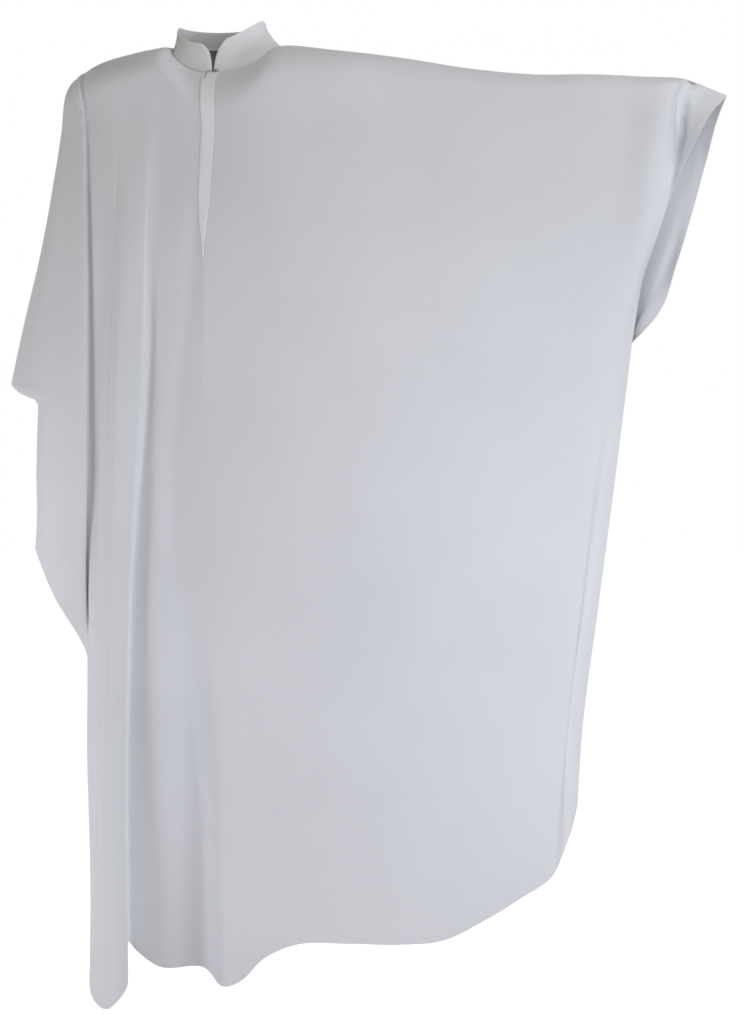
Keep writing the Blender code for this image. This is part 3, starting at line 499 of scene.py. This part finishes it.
def panel_grid(lines, hangs, cuff_lines, neck, cuff_right, cuff_left):
    """Outer surface of a panel as rows x columns x (x, y, z)."""
    tops = SHOULDER_RIGHT + neck + ARM_LEFT
    named = list(lines) + [hung_line(h, tops[len(lines) + i]) for i, h in enumerate(hangs)]
    grid = []
    for depth in DEPTHS:
        v = depth / ROWS[-1]
        edge = down_edge((OVERARM_RIGHT, *cuff_right, SIDE_SEAM_RIGHT), v)
        row = [down_line(line, roll, bend, top, top[2] + v * (line.hem[2] - top[2]))
               for line, roll, bend, top in zip(named, ROLLS, BENDS, tops)]
        row = [edge, *round_sleeve(edge, row[0]), *row]
        row += [down_edge((run,), v) for run in cuff_lines]
        row = np.array(row + [down_edge((cuff_left, SIDE_SEAM_LEFT), v)])
        knots = run_along(row, power=0.5)
        at = np.interp(PLACES, np.arange(len(row)), knots)
        ends = (0, NECK_SIDE_RIGHT, NECK_SIDE_LEFT, len(row) - 1) if depth == 0 else (0, len(row) - 1)
        points = np.zeros((len(PLACES), 3))
        for first, last in zip(ends, ends[1:]):
            here = (PLACES >= first) & (PLACES <= last)
            points[here] = curve(knots[first:last + 1], row[first:last + 1], at[here])
        grid.append(points)
    return np.array(grid)


front_grid = panel_grid(FRONT_LINES, FRONT_HANGS, FRONT_CUFF_LINES, NECK_FRONT,
                        FRONT_CUFF_RIGHT, FRONT_CUFF_LEFT)
back_grid = panel_grid(BACK_LINES, BACK_HANGS, BACK_CUFF_LINES, NECK_BACK, BACK_CUFF_RIGHT, BACK_CUFF_LEFT)
print("grids of", front_grid.shape[:2], "points")


# %% Directions out of the cloth
def unit(vectors):
    return vectors / np.maximum(np.linalg.norm(vectors, axis=-1, keepdims=True), 1e-12)


def outward(grid, side):
    """Normals of a grid, the mean of those of the cells round each point; side is -1 for a front."""
    cells = unit(np.cross(grid[:-1, 1:] - grid[1:, :-1], grid[1:, 1:] - grid[:-1, :-1]))
    total = np.zeros_like(grid)
    for rows in (slice(None, -1), slice(1, None)):
        for columns in (slice(None, -1), slice(1, None)):
            total[rows, columns] += cells
    return unit(total) * side


def row_at(depth):
    """Number of the row nearest to a depth."""
    return int(np.argmin(np.abs(np.array(DEPTHS) - depth)))


def column_at(line):
    """Number of the column nearest to a line."""
    return int(np.argmin(np.abs(PLACES - line)))


CUFF_TOP, UNDERARM_RIGHT = row_at(CUFF_TOP_DEPTH), row_at(UNDERARM_RIGHT_DEPTH)
UNDERARM_LEFT = row_at(UNDERARM_LEFT_DEPTH)
LAST_ROW, LAST_COLUMN = len(DEPTHS) - 1, len(PLACES) - 1

# %% [markdown]
# ### Creases and soft folds
# The lines of the loft give the large folds. On top come the marks of pressing and wearing: knife-thin
# creases where the cloth was folded in a drawer, the crisp edges of two folds, and broad soft waves that a
# wide cloth shows when it hangs from an arm. Each one is a path over the cloth, a height and a width, and
# the cloth is pushed out or in along it. A cloth simulation could make folds too, but not these ones in
# these places.

# %% Creases and soft folds
Crease = namedtuple("Crease", "name lift width crisp path")   # path holds (line, height) from the top down

FRONT_CREASES = (
    Crease("side_press_line", -0.0016, 0.0028, True,
           ((9.15, -0.15), (9.15, -0.35), (9.0, -0.52), (9.42, -0.66), (9.1, -0.78), (9.03, -0.90),
            (8.95, -1.10), (8.75, -1.30))),
    Crease("sleeve_press_line", -0.0008, 0.0022, True,
           ((2.54, -0.15), (2.3, -0.241), (2.39, -0.337), (2.46, -0.445), (1.9, -0.545))),
    Crease("shoulder_tuck", -0.0035, 0.0035, True,
           ((3.3, -0.055), (3.6, -0.094), (4.15, -0.107), (4.3, -0.140))),
    Crease("sleeve_edge", -0.002, 0.004, True,
           ((4.25, -0.19), (4.25, -0.30), (4.25, -0.52), (4.25, -0.75), (4.25, -0.86))),
    Crease("long_fold_crisp_edge", 0.0012, 0.004, True,
           ((11.0, -0.66), (11.0, -0.86), (11.0, -1.10), (11.0, -1.46))),
    Crease("below_slit", 0.0012, 0.005, False, ((17.05, -0.325), (17.0, -0.47), (16.8, -0.588))),
    Crease("slanted_valley", -0.003, 0.016, False,
           ((16.4, -0.25), (16.35, -0.39), (16.05, -0.52), (15.95, -0.63), (15.8, -0.75), (15.3, -0.865),
            (15.1, -0.96))),
    Crease("cuff_valley", -0.010, 0.0075, False,
           ((27.5, -0.085), (27.9, -0.139), (28.1, -0.186), (28.3, -0.235))),
    Crease("cuff_flap_edge", 0.003, 0.004, True,
           ((27.95, -0.09), (28.3, -0.139), (28.45, -0.186), (28.6, -0.235))),
    Crease("raised_cuff_press_line", -0.0008, 0.0022, True,
           ((27.3, -0.10), (27.05, -0.178), (26.97, -0.231), (27.05, -0.30), (27.4, -0.372), (28.6, -0.46))),
)
CREASE_FADE = 0.04      # length over which a crease dies away at its ends
WAVE_LIFT, WAVE_WIDTH, WAVE_LENGTH = 0.0012, 0.11, 0.75
WAVE_FADE, WAVE_START = 12, 0.10   # columns beside a seam and depth below the shoulder in which they set in


def press_in(grid, normals, creases):
    """Move the points of a grid out or in along each crease."""
    steps = np.linalg.norm(np.diff(grid, axis=1), axis=2)
    run = np.concatenate((np.zeros((len(grid), 1)), np.cumsum(steps, axis=1)), axis=1)
    fall = -grid[..., 2]
    moved = grid.copy()
    for crease in creases:
        lines, heights = np.array(crease.path).T
        on_line = np.interp(fall, -heights, lines)
        here = np.array([np.interp(a, PLACES, b) for a, b in zip(on_line, run)])
        away = np.abs(run - here) / crease.width
        profile = np.exp(-away if crease.crisp else -away**2)
        ends = (np.clip((fall + heights[0]) / CREASE_FADE, 0, 1)
                * np.clip((-heights[-1] - fall) / CREASE_FADE, 0, 1))
        moved += normals * (crease.lift * profile * ends * (2 - ends))[..., None]
    return moved


def hang_softly(grid, normals):
    """Add the faint broad waves of hanging cloth, none at the seams."""
    lift = np.array([[noise.noise(Vector((x / WAVE_WIDTH, y / WAVE_WIDTH, z / WAVE_LENGTH)))
                      for x, y, z in row] for row in grid])
    column = np.arange(LAST_COLUMN + 1)
    inside = np.minimum(np.minimum(column, LAST_COLUMN - column) / WAVE_FADE, 1.0)
    fall = np.minimum(np.array(DEPTHS) / WAVE_START, 1.0)
    return grid + normals * (WAVE_LIFT * lift * inside * fall[:, None])[..., None]


front_out = outward(front_grid, -1)
front_grid = hang_softly(press_in(front_grid, front_out, FRONT_CREASES), front_out)
back_grid = hang_softly(back_grid, outward(back_grid, 1))
print("creases pressed in:", len(FRONT_CREASES))

# %% [markdown]
# ### Sewing front to back
# The panels share their edge points along the shoulders, arms and sides, so they meet there in one seam. Both
# get the same outward direction at those points. The wall of the cloth is then laid inside the outer surface
# with no gap.

# %% Seams between the panels
def seam_cells():
    """(row, column, inner row, inner column) of each grid point where front and back are sewn together."""
    cells = [(r, 0, r, 1) for r in range(1, LAST_ROW + 1) if r <= CUFF_TOP or r >= UNDERARM_RIGHT]
    cells += [(r, LAST_COLUMN, r, LAST_COLUMN - 1) for r in range(UNDERARM_LEFT, LAST_ROW + 1)]
    cells += [(0, c, 1, c) for c in range(LAST_COLUMN + 1)
              if c <= column_at(NECK_SIDE_RIGHT) or c >= column_at(NECK_SIDE_LEFT)]
    return cells


front_normals, back_normals = outward(front_grid, -1), outward(back_grid, 1)
for r, c, inner_r, inner_c in seam_cells():
    into_front = unit(front_grid[inner_r, inner_c] - front_grid[r, c])
    into_back = unit(back_grid[inner_r, inner_c] - back_grid[r, c])
    shared = unit(front_normals[r, c] + back_normals[r, c] - into_front - into_back)
    front_normals[r, c] = back_normals[r, c] = shared

# %% [markdown]
# ### From grid to cloth
# A panel is a thin closed shell: the grid, a copy of it one cloth thickness further in, and the narrow faces
# between them. Solidify would do the same, but making the copy by hand keeps the two panels' walls tight
# against each other in the seam. Each point also gets its place on the flat cloth, in metres, so that the
# weave follows the folds.

# %% Cloth shells
CLOTH = 0.0009          # crepe of this weight
SLIT_WIDTH = 0.003      # centre front slit
SLIT_END = row_at(ROWS[8])


def new_piece(name, points, faces, material, flat=None, sharp=0.9):
    mesh = bpy.data.meshes.new(name)
    mesh.from_pydata([tuple(p) for p in points], [], faces)
    if flat is not None:
        layer = mesh.uv_layers.new(name="cloth")
        corners = np.array([loop.vertex_index for loop in mesh.loops])
        layer.data.foreach_set("uv", np.asarray(flat, float)[corners].ravel())
    mesh.validate()
    mesh.materials.append(material)
    mesh.shade_smooth()
    mesh.set_sharp_from_angle(angle=sharp)
    piece = bpy.data.objects.new(name, mesh)
    show(piece)
    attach(piece, "root")
    return piece


def flat_places(grid):
    """(across, down) in metres on the flat cloth of each grid point."""
    across = np.cumsum(np.linalg.norm(np.diff(grid, axis=1, prepend=grid[:, :1]), axis=2), axis=1)
    fall = np.cumsum(np.linalg.norm(np.diff(grid, axis=0, prepend=grid[:1]), axis=2), axis=0)
    return np.stack((across, fall), axis=2)


def grid_quads(rows, columns, number, side):
    """Quads of a grid facing outward; number(row, column, cell column) gives a point number."""
    quads = []
    for r in range(rows - 1):
        for c in range(columns - 1):
            quad = (number(r, c, c), number(r + 1, c, c), number(r + 1, c + 1, c), number(r, c + 1, c))
            quads.append(quad if side < 0 else quad[::-1])
    return quads


def cloth_wall(name, outer, inner, quads, material, flat):
    """A closed wall between two copies of an open sheet; quads are point numbers seen from outside."""
    count = len(outer)
    faces = [tuple(q) for q in quads] + [tuple(count + i for i in reversed(q)) for q in quads]
    edges = {(q[i], q[(i + 1) % len(q)]) for q in quads for i in range(len(q))}
    faces += [(b, a, count + a, count + b) for a, b in sorted(edges) if (b, a) not in edges]
    return new_piece(name, list(outer) + list(inner), faces, material, list(flat) + list(flat))


def make_panel(name, grid, normals, side, slit=False):
    rows, columns = grid.shape[:2]
    outer, normal = list(grid.reshape(-1, 3)), list(normals.reshape(-1, 3))
    flat = list(flat_places(grid).reshape(-1, 2))
    middle, split = column_at(CENTRE), {}
    if slit:
        for r in range(SLIT_END):
            aside = unit(grid[r, middle + 1] - grid[r, middle - 1]) * SLIT_WIDTH / 2
            split[r] = len(outer)
            outer.append(grid[r, middle] + aside)
            normal.append(normals[r, middle])
            flat.append(flat[r * columns + middle])
            outer[r * columns + middle] = grid[r, middle] - aside

    def number(r, c, cell):
        return split[r] if r in split and c == middle and cell >= middle else r * columns + c

    inner = [p - n * CLOTH for p, n in zip(outer, normal)]
    return cloth_wall(name, outer, inner, grid_quads(rows, columns, number, side), SINGLE_CREPE, flat)


robe_front = make_panel("robe_front", front_grid, front_normals, -1, slit=True)
robe_back = make_panel("robe_back", back_grid, back_normals, 1)
print("front", len(robe_front.data.polygons), "faces, back", len(robe_back.data.polygons), "faces")

# %% [markdown]
# ## Placket
# The slit at the throat is closed by a placket, a narrow strip of doubled cloth sewn over it that runs out to
# a point below. It is made from the front's own points, moved out by the thickness of the cloth, so it bends
# with the chest and can't float.

# %% Placket
PLACKET_WALL, PLACKET_GAP = 0.0012, 0.0004
PLACKET_REACH = 20      # columns of the front beside the slit, more than the strip covers
# Half widths of the strip to the wearer's right and left of the slit, by depth below the neck.
PLACKET_SHAPE = ((0.0, 0.0115, 0.0115), (0.08, 0.0115, 0.0112), (0.15, 0.0112, 0.0105),
                 (0.21, 0.0110, 0.0095), (0.25, 0.0065, 0.0055), (0.279, 0.0012, 0.0012))
ACROSS_PLACKET = np.array((-1.0, -0.94, -0.8, -0.5, -0.2, 0.0, 0.2, 0.5, 0.8, 0.94, 1.0))


def read(at, run, values):
    """Points or directions along a run, read at one place or at several."""
    return np.stack([np.interp(at, run, values[:, k]) for k in range(3)], axis=-1)


def doubled_wall(name, sheet, outer, inner):
    """A closed wall of doubled cloth between two grids; sheet is the one that its flat size comes from."""
    return cloth_wall(name, outer.reshape(-1, 3), inner.reshape(-1, 3),
                      grid_quads(*sheet.shape[:2], lambda r, c, cell: r * sheet.shape[1] + c, -1),
                      DOUBLED_CREPE, flat_places(sheet).reshape(-1, 2))


def placket_sheet():
    """Outer surface of the strip with its normals."""
    middle = column_at(CENTRE)
    span = slice(middle - PLACKET_REACH, middle + PLACKET_REACH + 1)
    depths, halves_right, halves_left = np.array(PLACKET_SHAPE).T
    points, directions = [], []
    for r in range(SLIT_END + 1):
        row, normal = front_grid[r, span], front_normals[r, span]
        run = run_along(row)
        run -= run[PLACKET_REACH]
        depth = front_grid[0, middle, 2] - front_grid[r, middle, 2]
        right, left = np.interp(depth, depths, halves_right), np.interp(depth, depths, halves_left)
        at = np.where(ACROSS_PLACKET < 0, ACROSS_PLACKET * right, ACROSS_PLACKET * left)
        points.append(read(at, run, row))
        directions.append(unit(read(at, run, normal)))
    directions = np.array(directions)
    swell = PLACKET_WALL * (1 - 0.45 * np.abs(ACROSS_PLACKET) ** 6)[None, :, None]
    return np.array(points) + directions * (PLACKET_GAP + swell), directions, swell


strip, strip_normals, strip_swell = placket_sheet()
placket_strip = doubled_wall("placket_strip", strip, strip, strip - strip_normals * strip_swell)
print("placket", round(float(np.ptp(strip[..., 2])), 3), "m long")

# %% [markdown]
# ## Collar
# The stand collar is a band of two layers with interlining between them, stiff enough to stand. Its ends are
# rounded and meet at the throat. A rolled tube would look too thick, so the band is lofted from the neckline
# up to its own upper edge, and its rim is rounded over as a turned edge is.

# %% Collar
BAND, BAND_GAP = 0.0018, 0.0003   # thickness, and gap above the neckline
BAND_LENGTH, BAND_HEIGHT = 0.42, 0.045   # half way up, and along its slope
TURNED_EDGE, TURNED_SHARE = 0.0025, 0.85   # width of the turned edge, and how far its two faces close
COLLAR_RIM = (-0.0065, -0.002, 0.0715, 0.060)   # centre x, y and half sizes of the collar's upper edge
COLLAR_BACK_Z, COLLAR_FRONT_Z = 0.044, 0.003  # height of that edge at the back and at the front
# Shares of the height at which the band is read, closer together towards the rim.
STANDS = (0.0, 0.04, 0.12, 0.22, 0.32, 0.42, 0.52, 0.62, 0.70, 0.77, 0.83, 0.88, 0.92, 0.95, 0.975, 0.99,
          1.0)


def collar_sheet():
    """Outer surface of the band, from the neckline up, with its normals."""
    right, centre, left = column_at(NECK_SIDE_RIGHT), column_at(CENTRE), column_at(NECK_SIDE_LEFT)
    base = np.concatenate((front_grid[0, right:centre + 1][::-1], back_grid[0, right + 1:left],
                           front_grid[0, centre:left + 1][::-1]))
    x, y, half_x, half_y = COLLAR_RIM
    inward = unit(np.array((x, y, 0.0)) - base * (1, 1, 0))
    base = base + (inward + (0, 0, 1)) * BAND_GAP
    angle = np.arctan2((base[:, 1] - y) / half_y, (base[:, 0] - x) / half_x)
    front_share = np.maximum(-np.sin(angle), 0) ** 1.5
    rim = np.stack((x + half_x * np.cos(angle), y + half_y * np.sin(angle),
                    COLLAR_BACK_Z + (COLLAR_FRONT_Z - COLLAR_BACK_Z) * front_share), axis=1)
    length = run_along(base)
    outer, normals = [], []
    for stand in STANDS:
        end = 0.0008 + 0.006 * stand + 0.018 * stand**5   # the ends lean apart and are rounded at the top
        at = end + (length[-1] - 2 * end) * length / length[-1]
        low, high, turn = (read(at, length, line) for line in (base, rim, inward))
        lean = 1 - (1 - stand) ** 1.6
        outer.append(low + (high - low) * (lean, lean, stand))
        normals.append(-unit(turn))
    return np.array(outer), np.array(normals)


band, band_normals = collar_sheet()
# The two faces of the band close in on each other towards the rim and the ends, as a turned edge does.
from_rim = (1 - np.array(STANDS))[:, None] * BAND_HEIGHT
along_band = np.linspace(0, 1, band.shape[1])[None, :] * BAND_LENGTH
from_end = np.minimum(np.minimum(along_band, BAND_LENGTH - along_band), from_rim)
thin = np.clip(from_end / TURNED_EDGE, 0, 1)
turned = (BAND / 2) * (1 - np.sqrt(1 - (1 - thin) ** 2))[..., None] * TURNED_SHARE
band_outer, band_inner = band - band_normals * turned, band - band_normals * (BAND - turned)
collar_band = doubled_wall("collar_band", band, band_outer, band_inner)
print("collar", band.shape[:2], "points")

# %% [markdown]
# ## Stitching
# Lockstitch shows as a row of short dashes. The hems, cuffs, placket and collar are each sewn a few
# millimetres in from the edge. A bump in the material would vanish in a close view, so every stitch is a
# small raised piece of thread: a six-sided bead, half sunk into the cloth. Real thread is 0.3 mm thick and
# is drawn 0.6 mm thick here, because thinner would not show.

# %% Stitches
THREAD, STITCH, STITCH_GAP = 0.0006, 0.0026, 0.0012
BEAD_RINGS = ((0.15, 0.75), (0.5, 1.0), (0.85, 0.75))   # rings of a bead: place along it, and thickness
NEAR_EDGE = 30   # points of a row or column in which the line of stitches is looked for


def stitches(name, lines):
    """Stitches along lines, each a pair of points and outward directions."""
    points, faces = [], []
    ring = np.radians(np.arange(0, 360, 60))
    for path, normals in lines:
        run = run_along(path)
        for start in np.arange(STITCH_GAP, run[-1] - STITCH, STITCH + STITCH_GAP):
            low, high = read(start, run, path), read(start + STITCH, run, path)
            out = unit(read(start + STITCH / 2, run, normals))
            side = np.cross(unit(high - low), out)
            first = len(points)
            points.append(low - out * THREAD * 0.2)
            for share, size in BEAD_RINGS:
                centre = low + (high - low) * share + out * THREAD * 0.15 * size
                points += [centre + (side * np.cos(a) + out * np.sin(a) * 0.8) * size * THREAD / 2
                           for a in ring]
            points.append(high - out * THREAD * 0.2)
            last = len(points) - 1
            for k in range(6):
                n = (k + 1) % 6
                faces.append((first, first + 1 + n, first + 1 + k))
                for low_ring in (first + 1, first + 7):
                    faces.append((low_ring + k, low_ring + n, low_ring + 6 + n, low_ring + 6 + k))
                faces.append((last, first + 13 + k, first + 13 + n))
    piece = new_piece(name, points, faces, SEWING_THREAD)
    print(name, "has", len(faces) // 24, "stitches")
    return piece


def inset(grid, normals, rows, columns, distance, along):
    """A line a distance in from an edge of a grid, measured along its "rows" or "columns"."""
    path, out = [], []
    for r in rows:
        for c in columns:
            line, normal = (grid[r], normals[r]) if along == "columns" else (grid[:, c], normals[:, c])
            start = c if along == "columns" else r
            step = 1 if start == 0 else -1
            line, normal = line[start::step][:NEAR_EDGE], normal[start::step][:NEAR_EDGE]
            path.append(read(distance, run_along(line), line))
            out.append(read(distance, run_along(line), normal))
    return np.array(path), np.array(out)


hem_lines, cuff_lines = [], []
for grid, normals in ((front_grid, front_normals), (back_grid, back_normals)):
    hem_lines.append(inset(grid, normals, (LAST_ROW,), range(2, LAST_COLUMN - 1), HEM_DEPTH - 0.0015, "rows"))
    cuff_lines.append(inset(grid, normals, range(CUFF_TOP + 1, UNDERARM_RIGHT), (0,), HEM_DEPTH, "columns"))
    cuff_lines.append(inset(grid, normals, range(2, UNDERARM_LEFT), (LAST_COLUMN,), HEM_DEPTH, "columns"))
hem_stitching = stitches("hem_stitching", hem_lines)
cuff_stitching = stitches("cuff_stitching", cuff_lines)
placket_stitching = stitches("placket_stitching", [
    (strip[:-4, 2], strip_normals[:-4, 2]), (strip[:-4, -3], strip_normals[:-4, -3])])
collar_stitching = stitches("collar_stitching", [
    (band_outer[1, 2:-2], band_normals[1, 2:-2]), (band_outer[-6, 3:-3], band_normals[-6, 3:-3]),
    (band_outer[1:-5, 3], band_normals[1:-5, 3]), (band_outer[1:-5, -4], band_normals[1:-5, -4])])

# %% [markdown]
# ## Hook and eye
# A wire hook and eye closes the collar. Each is one length of wire bent to shape, so each is a curve with a
# round bevel. The hook's shank lies on the placket and its bill passes through the eye.

# %% Hook and eye
WIRE = 0.0009


def bend_wire(name, points):
    data = bpy.data.curves.new(name, "CURVE")
    data.dimensions, data.bevel_depth, data.bevel_resolution, data.use_fill_caps = "3D", WIRE / 2, 4, True
    data.resolution_u = 8
    spline = data.splines.new("BEZIER")
    spline.bezier_points.add(len(points) - 1)
    for point, place in zip(spline.bezier_points, points):
        point.co = place
        point.handle_left_type = point.handle_right_type = "AUTO"
    data.materials.append(WIRE_STEEL)
    wire = bpy.data.objects.new(name, data)
    show(wire)
    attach(wire, "root")
    print(name, "of", len(points), "bends")
    return wire


neck_point = front_grid[0, column_at(CENTRE)] + np.array((0.0, -0.0014, 0.0037))
on_strip = strip + strip_normals * (WIRE / 2 + 0.0003)
hook_wire = bend_wire("hook_wire", [on_strip[6, 3], on_strip[3, 3]] + [neck_point + p for p in np.array((
    (-0.0040, -0.0011, 0.0), (0.0005, -0.0011, 0.0), (0.0050, -0.0011, 0.0), (0.0062, -0.0009, 0.0),
    (0.0066, -0.0001, 0.0)))])
eye_wire = bend_wire("eye_wire", [neck_point + p for p in np.array((
    (0.0105, 0.0, 0.0016), (0.0060, 0.0, 0.0016), (0.0046, 0.0, 0.0010), (0.0046, 0.0, -0.0010),
    (0.0060, 0.0, -0.0016), (0.0105, 0.0, -0.0016)))])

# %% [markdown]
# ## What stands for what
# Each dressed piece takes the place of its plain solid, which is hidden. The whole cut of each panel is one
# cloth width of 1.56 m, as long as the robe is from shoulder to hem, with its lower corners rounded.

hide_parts("front")
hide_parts("back")
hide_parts("placket")
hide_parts("collar")
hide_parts("hook")
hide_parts("eye")

# %% [markdown]
# ## Floor and light
# The robe hangs over a plain white floor that runs out of sight. The light is soft and comes mostly from one
# side, as from a window low on the robe's left: it falls off across the cloth, which shows the folds without
# hard shadows. Daylight is bluish, and the room and its wall lamp are warm, so the two sides of a fold differ
# in tint. One lamp overhead keeps the top of the raised arm from going dark.

# %% Floor
FLOOR_HEIGHT, FLOOR_HALF = -1.53, 40
FLOOR_PAINT, floor_tree, floor_shader = new_material(
    "white_studio_vinyl", Roughness=0.7, Base_Color=linear("#F6F7F9"), Emission_Color=linear("#FFFFFF"),
    Emission_Strength=0.82)
floor_mesh = bpy.data.meshes.new("floor")
floor_mesh.from_pydata([(x * FLOOR_HALF, y * FLOOR_HALF, FLOOR_HEIGHT)
                        for x, y in ((-1, -1), (1, -1), (1, 1), (-1, 1))], [], [(0, 1, 2, 3)])
floor_mesh.materials.append(FLOOR_PAINT)
floor = bpy.data.objects.new("floor", floor_mesh)
show(floor)
floor.visible_diffuse = False   # so that it doesn't light the robe from below more than the room does

# %% Light
world = bpy.data.worlds.new("white_room")
bpy.context.scene.world = world
world.use_nodes = True
world_tree = world.node_tree
room = world_tree.nodes["Background"]
room.inputs["Color"].default_value, room.inputs["Strength"].default_value = linear("#FFF7EA"), 0.325
backdrop = add_node(world_tree, "ShaderNodeBackground", {"Color": linear("#FFFFFF"), "Strength": 1.0})
seen = add_node(world_tree, "ShaderNodeLightPath").outputs["Is Camera Ray"]
mixed = add_node(world_tree, "ShaderNodeMixShader", {}, {"Fac": seen})
world_tree.links.new(room.outputs["Background"], mixed.inputs[1])
world_tree.links.new(backdrop.outputs["Background"], mixed.inputs[2])
world_tree.links.new(mixed.outputs["Shader"], world_tree.nodes["World Output"].inputs["Surface"])
bpy.context.scene.view_settings.view_transform = "Standard"


def soft_light(name, place, target, size, power, colour):
    data = bpy.data.lights.new(name, "AREA")
    data.shape, data.size, data.energy, data.color = "DISK", size, power, linear(colour)[:3]
    lamp = bpy.data.objects.new(name, data)
    lamp.location = place
    lamp.rotation_euler = (Vector(place) - Vector(target)).to_track_quat("Z", "Y").to_euler()
    show(lamp)
    print(name, "of", power, "W")
    return lamp


soft_light("window", (1.7, -1.3, -0.95), (0.3, 0, -0.9), 1.0, 20.4, "#EBF1FF")
soft_light("window_blue", (-1.5, -1.7, -1.7), (-0.1, 0, -1.0), 1.4, 8.6, "#9FBAFF")
soft_light("wall_lamp", (-2.0, -0.3, -1.1), (-0.1, 0, -1.0), 0.8, 1.4, "#FFB060")
soft_light("room_left", (-1.3, -0.9, -1.15), (-0.1, 0, -1.1), 0.7, 8.3, "#F2F6FF")
soft_light("ceiling", (0.9, -0.25, 0.9), (0.55, 0, -0.1), 0.8, 4.8, "#EDF4FF")
